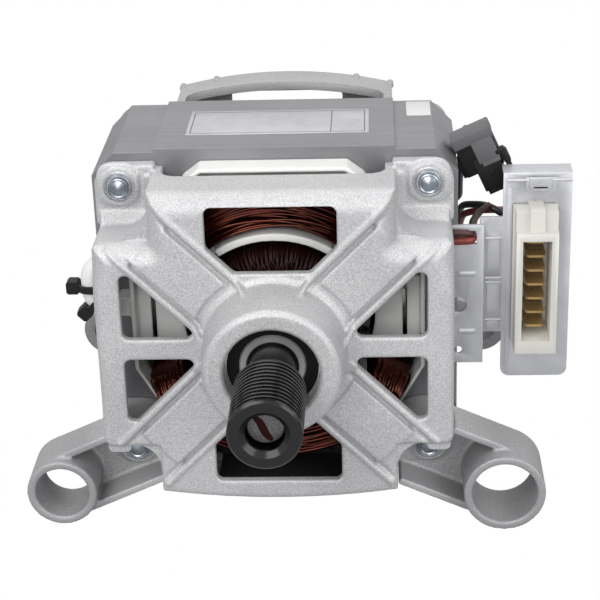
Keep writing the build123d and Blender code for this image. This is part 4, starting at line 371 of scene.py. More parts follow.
# Colour, roughness and what differs from the plain recipe
METALS = {
    "zinc_plate": ((0.30, 0.335, 0.375), 0.28, {}),
    "light_zinc": ((0.55, 0.56, 0.58), 0.3, {"metal": 0.7}),
    "bright_steel": ((0.72, 0.72, 0.74), 0.22, {}),
    "dark_steel": ((0.10, 0.10, 0.105), 0.38, {"metal": 0.7}),
    "brass_blades": ((0.50, 0.33, 0.13), 0.32, {"scale": 300, "metal": 0.55, "bump": 0.01}),
    "turned_copper": ((0.72, 0.36, 0.20), 0.25, {}),
    "ring_magnet": ((0.12, 0.12, 0.125), 0.45, {"metal": 0.8}),
    "label_foil": ((0.50, 0.50, 0.52), 0.34, {"scale": 300, "metal": 0.35, "bump": 0.02}),
}
PLASTICS = {
    "ivory_plastic": ((0.81, 0.805, 0.78), 0.4, {"waxy": 0.1}),
    "plug_plastic": ((0.61, 0.595, 0.55), 0.42, {"waxy": 0.1}),
    "black_plastic": ((0.008, 0.008, 0.0085), 0.5, {"specular": 0.25}),
    "charcoal_plastic": ((0.115, 0.115, 0.122), 0.5, {"specular": 0.3}),
    "seal_rubber": ((0.005, 0.005, 0.0055), 0.55, {"specular": 0.15}),
    "enamelled_copper_core": ((0.012, 0.003, 0.0025), 0.7, {"specular": 0.05}),
    "rotor_enamel": ((0.02, 0.0052, 0.004), 0.42, {"specular": 0.2}),
    "phenolic": ((0.10, 0.05, 0.03), 0.5, {}),
    "pickup_coil": ((0.72, 0.68, 0.58), 0.5, {}),
    "carbon_left": ((0.02, 0.02, 0.022), 0.6, {}),
    "carbon_right": ((0.02, 0.02, 0.022), 0.6, {}),
    "front_cage": ((0.40, 0.33, 0.20), 0.5, {}),
    "rear_cage": ((0.40, 0.33, 0.20), 0.5, {}),
    "red_lead": ((0.20, 0.025, 0.015), 0.35, {}),
    "dark_red_lead": ((0.05, 0.014, 0.011), 0.4, {}),
    "black_lead": ((0.012, 0.012, 0.012), 0.4, {}),
    "black_lead_clip": ((0.012, 0.012, 0.012), 0.4, {}),
    "white_sleeve": ((0.78, 0.78, 0.76), 0.7, {"scale": 1500, "bump": 0.4}),
    "label_lines": ((0.10, 0.10, 0.11), 0.5, {}),
    "sticker_paper": ((0.68, 0.68, 0.67), 0.6, {}),
    "stripe_paint": ((0.024, 0.006, 0.005), 0.6, {"specular": 0.08}),
}
WORN_BY = {
    "cast_aluminium": ("front_bracket",),
    "cast_aluminium_rear": ("rear_bracket",),
    "stator_laminations": ("stator_core",),
    "rotor_laminations": ("rotor_core",),
    "ivory_plastic": ("front_insulator", "rear_insulator"),
    "plug_plastic": ("terminal_housing",),
    "brass_blades": ("terminals",),
    "galvanised_sheet": ("terminal_bracket",),
    "dark_shaft": ("shaft",),
    "black_pulley": ("pulley",),
    "dark_steel": ("bearing_snap_ring",),
    "bright_steel": ("wave_washer", "brush_spring_left", "brush_spring_right", "front_bearing_outer_ring",
                     "front_bearing_balls", "rear_bearing_outer_ring", "rear_bearing_balls"),
    "ground_race": ("front_bearing_inner_ring", "rear_bearing_inner_ring"),
    "seal_rubber": ("front_bearing_seals", "rear_bearing_seals"),
    "front_cage": ("front_bearing_cage",),
    "rear_cage": ("rear_bearing_cage",),
    "enamelled_copper": ("field_coil_top_wire", "field_coil_bottom_wire"),
    "enamelled_copper_core": ("field_coil_top_core", "field_coil_bottom_core", "rotor_winding_front",
                              "rotor_winding_rear"),
    "phenolic": ("commutator_hub",),
    "turned_copper": ("commutator_bars",),
    "ring_magnet": ("tacho_magnet",),
    "pickup_coil": ("tacho_coil",),
    "black_plastic": ("tacho_cover", "harness_connector", "harness_latch", "cable_ties", "brush_holder_left",
                      "brush_holder_right"),
    "carbon_left": ("brush_left",),
    "carbon_right": ("brush_right",),
    "zinc_plate": ("through_bolts", "bolt_washers", "bolt_nuts", "tacho_screws", "brush_holder_screws",
                   "terminal_bracket_screws"),
    "red_lead": ("lead_red",),
    "black_lead": ("lead_black",),
    "black_lead_clip": ("lead_clip",),
    "white_sleeve": ("lead_sleeve",),
}


def materials():
    made = [cast_aluminium("cast_aluminium"), cast_aluminium("cast_aluminium_rear", 0.8),
            laminations("stator_laminations", (0.29, 0.29, 0.303)),
            laminations("rotor_laminations", (0.16, 0.16, 0.165)),
            galvanised_sheet("galvanised_sheet", (0.585, 0.59, 0.615)),
            enamel("enamelled_copper", (0.118, 0.0205, 0.0088), 0.12),
            black_pulley(), ground_race(), dark_shaft()]
    for recipe, table in ((plain_metal, METALS), (plastic, PLASTICS)):
        made += [recipe(name, colour, rough, **more) for name, (colour, rough, more) in table.items()]
    finish = {material.name: material for material in made}
    for name, nodes in WORN_BY.items():
        for node in nodes:
            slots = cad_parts[node].data.materials
            slots.clear()
            slots.append(finish[name])
    return finish


# Pieces

# Angles in degrees above which edges are rounded, stay sharp or are kept when merging
BEVEL_ANGLE = 30
SMOOTH_ANGLE = 40
TURNED_ANGLE = 35
PAINT_ANGLE = 50
MERGE_ANGLE = 0.5
MERGE_DISTANCE = 0.002


def finished(obj, name, material, body="motor"):
    obj.name = name
    obj.data.name = name
    obj.data.materials.clear()
    obj.data.materials.append(FINISH[material])
    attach(obj, body)
    return obj


def applied(obj, kind, **settings):
    """Adds a modifier with its settings and applies it."""
    modifier = obj.modifiers.new(kind.lower(), kind)
    for key, value in settings.items():
        setattr(modifier, key, value)
    bpy.ops.object.modifier_apply(modifier=modifier.name)


def bevelled(obj, width, steps=2):
    pick(obj)
    applied(obj, "BEVEL", width=width * MM, segments=steps, limit_method="ANGLE",
            angle_limit=math.radians(BEVEL_ANGLE))
    bpy.ops.object.shade_smooth_by_angle(angle=math.radians(SMOOTH_ANGLE))


def block(low, high, round_to=0.0, steps=2):
    """A box between two corners, with rounded edges."""
    deselect()
    middle = tuple((a + b) / 2 * MM for a, b in zip(low, high))
    bpy.ops.mesh.primitive_cube_add(size=1, location=middle)
    obj = bpy.context.object
    obj.scale = tuple((b - a) * MM for a, b in zip(low, high))
    bpy.ops.object.transform_apply(location=True, rotation=True, scale=True)
    if round_to:
        bevelled(obj, round_to, steps)
    return obj


def joined(objs):
    pick(objs[0])
    for obj in objs:
        obj.select_set(True)
    bpy.ops.object.join()
    return bpy.context.object


def loose_copy(node):
    """A merged copy of a CAD node, ready to be shaped."""
    pick(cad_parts[node])
    bpy.ops.object.duplicate()
    obj = bpy.context.object
    bpy.ops.object.mode_set(mode="EDIT")
    bpy.ops.mesh.select_all(action="SELECT")
    bpy.ops.mesh.remove_doubles(threshold=MERGE_DISTANCE * MM)
    bpy.ops.mesh.dissolve_limited(angle_limit=math.radians(MERGE_ANGLE))
    bpy.ops.object.mode_set(mode="OBJECT")
    return obj


def stand_for(obj, name, *nodes):
    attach(obj, "motor")
    obj.name = name
    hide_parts(*nodes)
    return obj


def softened(node, name, width, steps=3):
    """A merged copy of a node with its edges rolled over."""
    obj = loose_copy(node)
    bevelled(obj, width, steps)
    return stand_for(obj, name, node)


def bar(start, end, radius, sides=12):
    """A round bar between two points."""
    a, b = Vector(start) * MM, Vector(end) * MM
    turn = (b - a).to_track_quat("Z", "Y").to_euler()
    deselect()
    bpy.ops.mesh.primitive_cylinder_add(vertices=sides, radius=radius * MM, depth=(b - a).length,
                                        location=(a + b) / 2, rotation=turn)
    bpy.ops.object.transform_apply(location=True, rotation=True, scale=True)
    return bpy.context.object


def hoop(y, radius, minor):
    """A ring round the shaft's axis."""
    deselect()
    bpy.ops.mesh.primitive_torus_add(major_segments=72, minor_segments=12, location=(0, y * MM, 0),
                                     rotation=(math.pi / 2, 0, 0), major_radius=radius * MM, minor_radius=minor * MM)
    bpy.ops.object.transform_apply(location=True, rotation=True, scale=True)
    return bpy.context.object


def arc_points(radius, y, first, sweep, steps, flip=1):
    """Points of an arc round the shaft's axis, from an angle in degrees."""
    angles = [math.radians(first + sweep * i / steps) for i in range(steps + 1)]
    return [(radius * math.cos(a), y, flip * radius * math.sin(a)) for a in angles]


def slabs(points, overlap, deep, thick):
    """Flat boxes end to end along points, deep along the shaft's axis."""
    made = []
    for a, b in zip(points, points[1:]):
        deselect()
        bpy.ops.mesh.primitive_cube_add(size=1, location=(Vector(a) + Vector(b)) / 2 * MM)
        obj = bpy.context.object
        obj.scale = (((Vector(b) - Vector(a)).length + overlap) * MM, deep * MM, thick * MM)
        obj.rotation_euler = (0, -math.atan2(b[2] - a[2], b[0] - a[0]), 0)
        bpy.ops.object.transform_apply(location=True, rotation=True, scale=True)
        made.append(obj)
    return made


def fused(obj, grain, rolls, ratio, shape=None):
    """Melts overlapping pieces into one skin, shapes it, evens it out and thins it."""
    pick(obj)
    applied(obj, "REMESH", mode="VOXEL", voxel_size=grain * MM)
    if shape:
        shape(obj.data)
    applied(obj, "SMOOTH", factor=0.5, iterations=rolls)
    applied(obj, "DECIMATE", ratio=ratio)
    applied(obj, "SMOOTH", factor=0.35, iterations=1)
    bpy.ops.object.shade_smooth()
    return obj


def strands(name, routes, radius, material, body, *nodes):
    """Round wires along routes, made into one mesh."""
    curve = bpy.data.curves.new(name, "CURVE")
    curve.dimensions = "3D"
    curve.bevel_depth = radius * MM
    curve.bevel_resolution = 1
    curve.use_fill_caps = True
    for route, closed in routes:
        line = curve.splines.new("POLY")
        line.points.add(len(route) - 1)
        for point, place in zip(line.points, route):
            point.co = (*(v * MM for v in place), 1)
        line.use_cyclic_u = closed
    obj = bpy.data.objects.new(name, curve)
    bpy.context.scene.collection.objects.link(obj)
    pick(obj)
    bpy.ops.object.convert(target="MESH")
    obj = bpy.context.object
    bpy.ops.object.shade_smooth()
    finished(obj, name, material, body)
    if nodes:
        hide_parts(*nodes)


# Front casting: outline of its tub, as the solids have it
FACE_Y = 44.35
RIM_X = 57.8
RIM_Z = 52.6
NOTCH_X = 39.4
NOTCH_Z = 35.4
RIM_BOW = 2.9

# How far the face rolls over into the tub at its sides, top and foot
SIDE_ROLL = 3.0
TOP_ROLL = 7.0
FOOT_ROLL = 1.6
ROLL_START = 0.5
ROLL_BLEND = 0.4

# Grooves beside the arms' panels: places across the arm, run along it, depths
GROOVES = (-6.64, 10.78)
GROOVE_WIDTH = 0.6
GROOVE_START = 25.0
GROOVE_END = 62.5
GROOVE_FADE = 6.0
GROOVE_DEEPENS = 50.5
GROOVE_BLEND = 2.0
GROOVE_SHALLOW = 0.35
GROOVE_MORE = 0.95
GROOVE_LAYER = 2.5

# Ridges along the arms' edges
ARM_LOW = -10.04
ARM_HIGH = 14.18
RIDGE_IN = 1.5
RIDGE_RADIUS = 1.15
RIDGE_SPAN = (23.0, 62.0)
RIDGE_Y = FACE_Y + 0.25

# Corner pads round the upper bolts, the sweeps into them and the lips over the lower bolts
BOLT_X = 50.2
BOLT_Z = 47.8
PAD_X = (43.6, 57.6)
PAD_Y = (68.25, 70.5)
PAD_Z = (41.0, 55.7)
PAD_CORNER = 5.0
PAD_BOSS = 6.3
PAD_SUNK = 0.5
SWEEP_Y = 69.4
LOWER_SWEEP = ((40.5, 35.0), (57.0, 35.0), 4.6)
INNER_SWEEP = ((39.0, 36.0), (39.0, 51.0), 3.6)
LIP_X = (49.0, 56.8)
LIP_Y = (44.6, 48.0)
LIP_Z = (-38.2, -34.0)
HUB_BEAD = (FACE_Y + 0.2, 23.9, 1.0)


def inside_rim(x, z):
    """How far a point of the face lies inside the tub's outline."""
    low_bow = RIM_BOW * max(0.0, 1 - (x / NOTCH_X) ** 2) if z < 0 else 0.0
    ax, az = abs(x), abs(z)
    corner = math.hypot(ax - NOTCH_X, az - NOTCH_Z)
    if ax > NOTCH_X and az > NOTCH_Z:
        return -corner
    left = NOTCH_X - ax if az > NOTCH_Z else corner
    under = NOTCH_Z - az if ax > NOTCH_X else corner
    return min(RIM_X - ax, RIM_Z + low_bow - az, left, under)


def groove_depth(x, z):
    """Depth of the arms' grooves at a point of the face."""
    along, across = (abs(x) + abs(z)) * DIAGONAL, (abs(x) - abs(z)) * DIAGONAL
    if not GROOVE_START < along < GROOVE_END:
        return 0.0
    depth = GROOVE_SHALLOW + GROOVE_MORE * min(max((along - GROOVE_DEEPENS) / GROOVE_BLEND, 0.0), 1.0)
    depth *= min((GROOVE_END - along) / GROOVE_FADE, 1.0)
    return sum(depth * math.exp(-((across - middle) / GROOVE_WIDTH) ** 2) for middle in GROOVES)


def roll_face(mesh):
    """Cuts the grooves and sinks the face towards its rim, so that it rounds over into the sides."""
    for v in mesh.vertices:
        x, deep, z = v.co.x / MM, v.co.y / MM - FACE_Y, v.co.z / MM
        if deep > TOP_ROLL + 1 or abs(x) > RIM_X + 1:
            continue
        side = min(max((abs(z) / NOTCH_Z - ROLL_START) / ROLL_BLEND, 0.0), 1.0)
        most = TOP_ROLL if z > 0 else FOOT_ROLL
        roll = SIDE_ROLL + (most - SIDE_ROLL) * side * side * (3 - 2 * side)
        if deep < GROOVE_LAYER:
            deep += groove_depth(x, z)
            v.co.y = (FACE_Y + deep) * MM
        inset = max(inside_rim(x, z), 0.0)
        if inset < roll:
            drop = roll - math.sqrt(roll * roll - (roll - inset) ** 2)
            v.co.y = (FACE_Y + (max(deep, drop) if deep > 0 else drop + deep)) * MM


def corner_pad(side):
    """Raised pad with round corners round an upper bolt."""
    (y0, y1), (z0, z1), corner = PAD_Y, PAD_Z, PAD_CORNER
    near, far = sorted(side * x for x in PAD_X)
    parts = [block((near + corner, y0, z0), (far - corner, y1, z1)),
             block((near, y0, z0 + corner), (far, y1, z1 - corner))]
    for x in (near + corner, far - corner):
        for z in (z0 + corner, z1 - corner):
            parts.append(bar((x, y0, z), (x, y1, z), corner, sides=32))
    parts.append(bar((side * BOLT_X, y0 - PAD_SUNK, BOLT_Z), (side * BOLT_X, y1, BOLT_Z), PAD_BOSS, sides=40))
    return parts


def arm_ridges(sx, sz):
    """Two ridges along one arm of the face."""
    ridges = []
    for across in (ARM_LOW + RIDGE_IN, ARM_HIGH - RIDGE_IN):
        ends = [(sx * (along + across) * DIAGONAL, RIDGE_Y, sz * (along - across) * DIAGONAL) for along in RIDGE_SPAN]
        ridges.append(bar(*ends, RIDGE_RADIUS))
    return ridges


def front_casting():
    parts = [loose_copy("front_bracket")]
    for sx in (-1, 1):
        parts += arm_ridges(sx, -1) + arm_ridges(sx, 1) + corner_pad(sx)
        for (x0, z0), (x1, z1), half in (LOWER_SWEEP, INNER_SWEEP):
            parts.append(bar((sx * x0, SWEEP_Y, z0), (sx * x1, SWEEP_Y, z1), half, sides=4))
        near, far = sorted(sx * x for x in LIP_X)
        parts.append(block((near, LIP_Y[0], LIP_Z[0]), (far, LIP_Y[1], LIP_Z[1]), round_to=1.8, steps=4))
    parts.append(hoop(*HUB_BEAD))
    obj = fused(joined(parts), grain=0.52, rolls=2, ratio=0.42, shape=roll_face)
    return stand_for(obj, "front_casting", "front_bracket")


# Bolts: dished zinc heads on a light flange, as (radius, distance before the seat) pairs
BOLT_SEAT_Y = 69.05
BOLT_TAIL_Y = 140.4
HEAD_PROFILE = ((0.15, 4.1), (2.6, 3.1), (3.0, 3.3), (3.4, 3.1), (3.5, 1.2), (3.5, 0.2), (2.4, 0.1))
FLANGE_PROFILE = ((3.7, 0.8), (3.9, 1.3), (4.3, 1.5), (4.6, 1.2), (4.9, 1.7), (5.3, 1.6), (5.38, 1.2),
                  (5.38, 0.02), (3.7, 0.02))
SHANK_TAIL = [(2.4, BOLT_TAIL_Y), (0.3, BOLT_TAIL_Y + 0.02)]


def revolved(profile, x, z, sides=40):
    """A turned piece round an axis along Y; the profile gives (radius, station) pairs."""
    deselect()
    first = profile[0]
    bpy.ops.mesh.primitive_circle_add(vertices=sides, radius=first[0] * MM, location=(x * MM, first[1] * MM, z * MM),
                                      rotation=(math.pi / 2, 0, 0), fill_type="NGON")
    bpy.ops.object.transform_apply(location=True, rotation=True, scale=True)
    obj = bpy.context.object
    bpy.ops.object.mode_set(mode="EDIT")
    bpy.ops.mesh.select_all(action="SELECT")
    for (r0, y0), (r1, y1) in zip(profile, profile[1:]):
        bpy.ops.mesh.extrude_region_move(TRANSFORM_OT_translate={"value": (0, (y1 - y0) * MM, 0)})
        grow = r1 / r0
        bpy.ops.transform.resize(value=(grow, 1, grow), center_override=(x * MM, y1 * MM, z * MM))
    bpy.ops.mesh.select_all(action="SELECT")
    bpy.ops.mesh.normals_make_consistent(inside=False)
    bpy.ops.object.mode_set(mode="OBJECT")
    bpy.ops.object.shade_smooth_by_angle(angle=math.radians(TURNED_ANGLE))
    return obj


def corner_bolts():
    head = [(radius, BOLT_SEAT_Y - before) for radius, before in HEAD_PROFILE] + SHANK_TAIL
    flange = [(radius, BOLT_SEAT_Y - before) for radius, before in FLANGE_PROFILE]
    places = [(sx * BOLT_X, sz * BOLT_Z) for sx in (-1, 1) for sz in (-1, 1)]
    heads = finished(joined([revolved(head, x, z, sides=24) for x, z in places]), "bolt_shanks", "zinc_plate")
    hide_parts("through_bolts")
    finished(joined([revolved(flange, x, z) for x, z in places]), "bolt_flanges", "light_zinc")


# Ivory winding frame with its collar drawn forward round the rotor
COLLAR_RADIUS = 33.7
COLLAR_Y = 60.4
COLLAR_LENGTH = 7.0
COLLAR_WALL = 2.6
COLLAR_FROM, COLLAR_SWEEP = 57, 66


def front_frame():
    parts = [loose_copy("front_insulator")]
    for up in (1, -1):
        arc = arc_points(COLLAR_RADIUS, COLLAR_Y, COLLAR_FROM, COLLAR_SWEEP, steps=14, flip=up)
        parts += slabs(arc, overlap=0.6, deep=COLLAR_LENGTH, thick=COLLAR_WALL)
    obj = fused(joined(parts), grain=0.45, rolls=3, ratio=0.5)
    return stand_for(obj, "front_winding_frame", "front_insulator")


# Field coils: loose turns that cross as they round the ends
COIL_INNER = 36.3
COIL_OUTER = 47.4
COIL_ANGLE = 31.0
COIL_SLOT_ANGLE = 24.0
COIL_SLOT_DEPTH = 5.5
COIL_FRONT_Y = 59.9
COIL_REAR_Y = 139.75
COIL_WANDER = 5.0
COIL_LAYERS = (-1.2, 1.6)
COIL_SWAY = 1.0
COIL_PHASES = 6.3
COIL_RIPPLE = 0.25
COIL_RIPPLE_RATE = 5
COIL_STEPS = 26
COIL_STRANDS = 40
STRAND_RADIUS = 0.6


def coil_route(rng, up):
    """One closed turn: across the front end, through a slot, across the rear end and back."""
    start = rng.uniform(COIL_INNER, COIL_OUTER)
    end = min(max(start + rng.uniform(-COIL_WANDER, COIL_WANDER), COIL_INNER), COIL_OUTER)
    layer = rng.uniform(*COIL_LAYERS)
    sway = rng.uniform(-COIL_SWAY, COIL_SWAY)
    phase = rng.uniform(0, COIL_PHASES)
    low = math.radians(COIL_SLOT_ANGLE)
    route = []
    for y, away, order in ((COIL_FRONT_Y, -1, 1), (COIL_REAR_Y, 1, -1)):
        arc = []
        for i in range(COIL_STEPS + 1):
            t = i / COIL_STEPS
            angle = math.radians(COIL_ANGLE + (180 - 2 * COIL_ANGLE) * t)
            radius = start + (end - start) * t + sway * math.sin(math.pi * t * 2 + phase) * math.sin(math.pi * t)
            radius = min(max(radius, COIL_INNER), COIL_OUTER)
            depth = y - away * layer + COIL_RIPPLE * math.sin(COIL_RIPPLE_RATE * t + phase)
            arc.append((radius * math.cos(angle), depth, up * radius * math.sin(angle)))
        inward = y - away * COIL_SLOT_DEPTH
        first = (start * math.cos(low), inward, up * start * math.sin(low))
        last = (-end * math.cos(low), inward, up * end * math.sin(low))
        route += ([first] + arc + [last])[::order]
    return route, True


def field_coils():
    rng = random.Random(11)
    for up, side in ((1, "top"), (-1, "bottom")):
        routes = [coil_route(rng, up) for _ in range(COIL_STRANDS)]
        strands(f"{side}_coil_turns", routes, STRAND_RADIUS, "enamelled_copper", "motor", f"field_coil_{side}_wire")


# Rotor end windings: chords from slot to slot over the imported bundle
ROTOR_SLOTS = 24
ROTOR_LAYERS = 5
ROTOR_RIM = 28.3
ROTOR_END_Y = 60.4
ROTOR_CHORD = 126
ROTOR_CHORD_STEP = 8
ROTOR_FIRST_RISE = 0.25
ROTOR_LAYER_TURN = 3.1
ROTOR_LAYER_RISE = 0.42
ROTOR_LAYER_INSET = 0.25
ROTOR_CHORD_INSET = 3.4
ROTOR_CHORD_BULGE = 0.3
ROTOR_CHORD_STEPS = 8
ROTOR_WIRE = 0.38

# Points down the shoulder, from the bundle's side: inset from the rim, depth behind the end
SHOULDER = ((0.0, 9.0), (0.0, 2.4), (1.2, 0.8))


def rotor_turns():
    """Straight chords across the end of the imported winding, bent down over its shoulder."""
    routes = []
    for slot in range(ROTOR_SLOTS):
        for layer in range(ROTOR_LAYERS):
            start = math.radians(slot * 360 / ROTOR_SLOTS + layer * ROTOR_LAYER_TURN)
            end = start + math.radians(ROTOR_CHORD + ROTOR_CHORD_STEP * layer)
            a, b = (Vector((math.cos(angle), math.sin(angle))) for angle in (start, end))
            front = ROTOR_END_Y - ROTOR_FIRST_RISE - ROTOR_LAYER_RISE * layer
            rim = ROTOR_RIM - ROTOR_LAYER_INSET * layer
            route = [(a.x * (rim - inset), ROTOR_END_Y + depth, a.y * (rim - inset)) for inset, depth in SHOULDER]
            for i in range(ROTOR_CHORD_STEPS + 1):
                t = i / ROTOR_CHORD_STEPS
                flat = (a * (1 - t) + b * t) * (rim - ROTOR_CHORD_INSET)
                route.append((flat.x, front - ROTOR_CHORD_BULGE * math.sin(math.pi * t), flat.y))
            route += [(b.x * (rim - inset), ROTOR_END_Y + depth, b.y * (rim - inset))
                      for inset, depth in reversed(SHOULDER)]
            routes.append((route, False))
    strands("rotor_front_turns", routes, ROTOR_WIRE, "rotor_enamel", "rotor")


# Dark inside of the lower window, under the lower coil: an upright black arc in front of the insulator, and a flat
# black sheet on the tub's floor as painted shade
DARK_ARC_RADIUS = 50.9
DARK_ARC_Y = 64.6
DARK_ARC_FROM, DARK_ARC_SWEEP = 236, 68
FLOOR_SHADE_SHEET = ((-20.5, 48.4, -49.6), (20.5, 64.8, -49.1))


def lower_window_darkness():
    arc = arc_points(DARK_ARC_RADIUS, DARK_ARC_Y, DARK_ARC_FROM, DARK_ARC_SWEEP, steps=14)
    strips = slabs(arc, overlap=0.5, deep=0.5, thick=5.0)
    # The flat black sheet is painted shade over the tub's floor
    strips.append(block(*FLOOR_SHADE_SHEET))
    finished(joined(strips), "lower_window_dark_sheets", "black_plastic")


# Plug bracket: the lanced tab in four blocks, the fold line, pressed beads and panel edges
TAB = (
    ((81.9, 73.2, 41.8), (92.1, 73.5, 46.9), 0.12, 2),
    ((83.0, 72.8, 43.0), (90.4, 73.4, 46.9), 0.25, 3),
    ((84.2, 72.8, 42.2), (89.2, 73.4, 44.0), 0.25, 3),
    ((85.9, 72.6, 44.4), (87.5, 73.0, 44.8), 0.12, 2),
)
FOLD_LINE = ((75.6, 73.5, 45.9), (96.9, 73.5, 45.9), 0.5)
BEAD_X = (60.6, 65.9)
BEAD_Y = 74.0
BEAD_Z = (13.25, -7.75)
BEAD_RADIUS = 1.25
PANEL_X = (69.2, 74.4)
PANEL_Y = 73.6
PANEL_Z = (25.8, 11.6, 10.0, -3.6)
PANEL_RADIUS = 0.42

# Leads that pass through the strip's window to the leads behind it; the dark one's colour is also painted shade of
# the channel's inside
RED_SHEATH = [(57.6, 72.8, 25.2), (60.0, 72.6, 25.3), (63.2, 72.6, 25.4), (64.8, 73.4, 25.3), (65.2, 76.0, 25.1),
              (65.2, 84.0, 24.6), (66.2, 92.0, 25.2), (69.0, 97.6, 26.5)]
DARK_SHEATH = [(57.6, 72.9, 28.0), (60.0, 72.8, 28.1), (62.8, 72.8, 28.0), (64.4, 73.6, 27.3), (64.7, 76.6, 26.9),
               (65.4, 84.0, 27.4), (67.6, 90.0, 28.8), (71.5, 93.7, 29.8)]
RED_SHEATH_RADIUS = 1.35
DARK_SHEATH_RADIUS = 1.25


def plug_bracket_details():
    parts = [block(*piece) for piece in TAB]
    parts.append(bar(*FOLD_LINE))
    for xs, y, heights, radius, sides in ((BEAD_X, BEAD_Y, BEAD_Z, BEAD_RADIUS, 20),
                                          (PANEL_X, PANEL_Y, PANEL_Z, PANEL_RADIUS, 12)):
        for z in heights:
            parts.append(bar((xs[0], y, z), (xs[1], y, z), radius, sides))
    finished(joined(parts), "plug_bracket_pressings", "galvanised_sheet")
    strands("red_lead_sheath", [(RED_SHEATH, False)], RED_SHEATH_RADIUS, "red_lead", "motor")
    # The dark lead is partly a real lead and partly painted shade: its dark colour stands in for the shaded inside of
    # the channel
    strands("dark_lead_sheath", [(DARK_SHEATH, False)], DARK_SHEATH_RADIUS, "dark_red_lead", "motor")


# In-line connector in its own tilted frame: across along its lid, deep, down away from it, edge
CLIP_CORNER = (69.7, 60.4)
CLIP_TILT = 24.5
CLIP_BODY = (
    ((-13.0, 0.2), (87.5, 95.8), (0.4, 14.7), 0.35),
    ((-14.2, -8.0), (88.5, 95.6), (8.4, 14.7), 0.35),
    ((-9.4, -0.7), (86.6, 94.5), (9.5, 21.4), 0.35),
    ((-8.6, -1.3), (87.2, 93.8), (21.0, 23.0), 0.2),
    ((-5.6, -4.2), (86.2, 88.0), (15.0, 16.4), 0.2),
)
CLIP_LATCH = (
    ((-1.2, 2.2), (85.6, 88.6), (8.8, 10.6), 0.5),
    ((0.4, 2.7), (85.6, 88.8), (9.4, 14.8), 0.8),
    ((0.6, 2.3), (85.8, 88.4), (14.0, 18.6), 0.4),
    ((-1.0, 2.0), (86.0, 88.4), (17.2, 18.9), 0.4),
)
CLIP_LID = (
    ((-13.2, 0.6), (86.0, 96.1), (0.0, 4.0), 0.5),
    ((-7.4, -0.1), (85.75, 88.0), (3.4, 11.3), 0.25),
    ((-6.5, -0.3), (85.85, 88.0), (11.0, 12.7), 0.25),
)


def clip_block(across, deep, down, round_to):
    """A block in the connector's own tilted frame."""
    obj = block((across[0], deep[0], -down[1]), (across[1], deep[1], -down[0]), round_to)
    obj.data.transform(Matrix.Rotation(-math.radians(CLIP_TILT), 4, "Y"))
    obj.data.transform(Matrix.Translation((CLIP_CORNER[0] * MM, 0, CLIP_CORNER[1] * MM)))
    return obj


def in_line_connector():
    dark = [clip_block(*piece) for piece in CLIP_BODY + CLIP_LATCH]
    body = finished(joined(dark), "in_line_connector", "black_plastic")
    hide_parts("harness_connector", "harness_latch")
    finished(joined([clip_block(*piece) for piece in CLIP_LID]), "connector_lid", "charcoal_plastic")


# Bare plate with its border and one dividing rule, and bare sticker, on the stack
PLATE_X = (-30.0, 31.0)
PLATE_Y = (88.7, 114.0)
PLATE_Z = (57.98, 58.14)
PLATE_EDGE = 0.1
RULE_Z = (58.1, 58.16)
RULE_INSET = 1.4
RULE_WIDTH = 0.35
RULE_DIVIDER = 12.6
STICKER = ((43.9, 109.6, 56.78), (52.2, 125.2, 56.95), 0.08)


def stack_labels():
    (left, right), (near, far) = PLATE_X, PLATE_Y
    half = RULE_WIDTH / 2
    plate = block((left, near, PLATE_Z[0]), (right, far, PLATE_Z[1]), PLATE_EDGE)
    finished(plate, "label_plate", "label_foil")
    rules = []
    for y in (near + RULE_INSET, far - RULE_INSET):
        rules.append(block((left + RULE_INSET, y - half, RULE_Z[0]), (right - RULE_INSET, y + half, RULE_Z[1])))
    for x in (left + RULE_INSET, right - RULE_INSET, right - RULE_DIVIDER):
        rules.append(block((x - half, near + RULE_INSET, RULE_Z[0]), (x + half, far - RULE_INSET, RULE_Z[1])))
    finished(joined(rules), "label_border", "label_lines")
    finished(block(*STICKER), "stack_sticker", "sticker_paper")


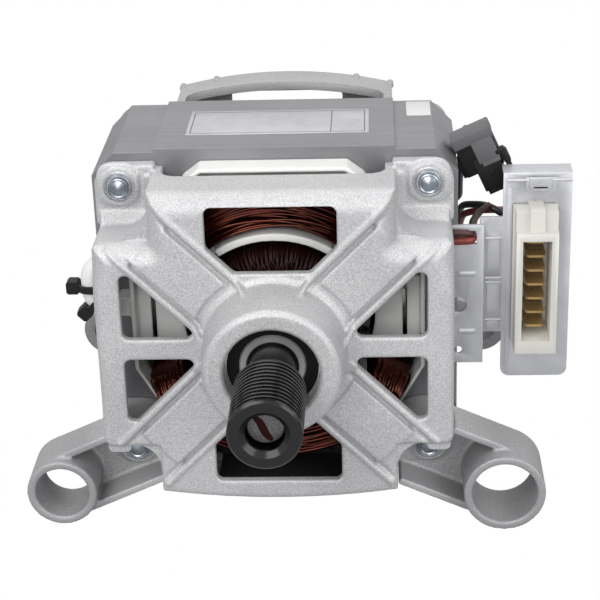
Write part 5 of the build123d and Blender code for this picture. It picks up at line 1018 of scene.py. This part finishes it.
# Stroke of dark paint across the shaft's end: round dabs along a curl, melted together
STRIPE_Y = -8.46
STRIPE_THICKNESS = 0.12
STRIPE_START = (-3.0, 2.9)
STRIPE_RUN = (4.45, -7.0)
STRIPE_CURL = 0.28
STRIPE_CURL_SHARE = (0.85, 0.5)
STRIPE_GRAIN = 0.06
DAB_RADIUS = 0.75
DAB_GROWTH = 0.7
DAB_EASE = 0.6
DAB_COUNT = 26


def paint_stripe():
    deselect()
    bpy.ops.mesh.primitive_cylinder_add(vertices=24, radius=DAB_RADIUS * MM, depth=STRIPE_THICKNESS * MM,
                                        location=(0, STRIPE_Y * MM, 0), rotation=(math.pi / 2, 0, 0))
    dab = bpy.context.object
    bpy.ops.object.transform_apply(location=True, rotation=True, scale=True)
    dabs = [dab]
    while len(dabs) < DAB_COUNT:
        pick(dab)
        bpy.ops.object.duplicate()
        dabs.append(bpy.context.object)
    for i, obj in enumerate(dabs):
        t = i / (DAB_COUNT - 1)
        curl = STRIPE_CURL * math.sin(2 * math.pi * t)
        x = STRIPE_START[0] + STRIPE_RUN[0] * t + curl * STRIPE_CURL_SHARE[0]
        z = STRIPE_START[1] + STRIPE_RUN[1] * t + curl * STRIPE_CURL_SHARE[1]
        size = 1.0 + DAB_GROWTH * math.sin(math.pi * t) ** DAB_EASE
        for v in obj.data.vertices:
            v.co.x = v.co.x * size + x * MM
            v.co.z = v.co.z * size + z * MM
    obj = joined(dabs)
    applied(obj, "REMESH", mode="VOXEL", voxel_size=STRIPE_GRAIN * MM)
    bpy.ops.object.shade_smooth_by_angle(angle=math.radians(PAINT_ANGLE))
    finished(obj, "paint_stripe", "stripe_paint", "rotor")


camera()
plain_stage()
FINISH = materials()
front_casting()
front_frame()
softened("rear_bracket", "rear_casting", width=0.55)
softened("terminal_bracket", "plug_bracket", width=0.22, steps=2)
softened("terminal_housing", "plug_body", width=0.25, steps=2)
corner_bolts()
field_coils()
rotor_turns()
lower_window_darkness()
plug_bracket_details()
in_line_connector()
stack_labels()
paint_stripe()
for light in LIGHTS:
    area_light(*light)

bpy.context.scene.view_settings.view_transform = "Standard"
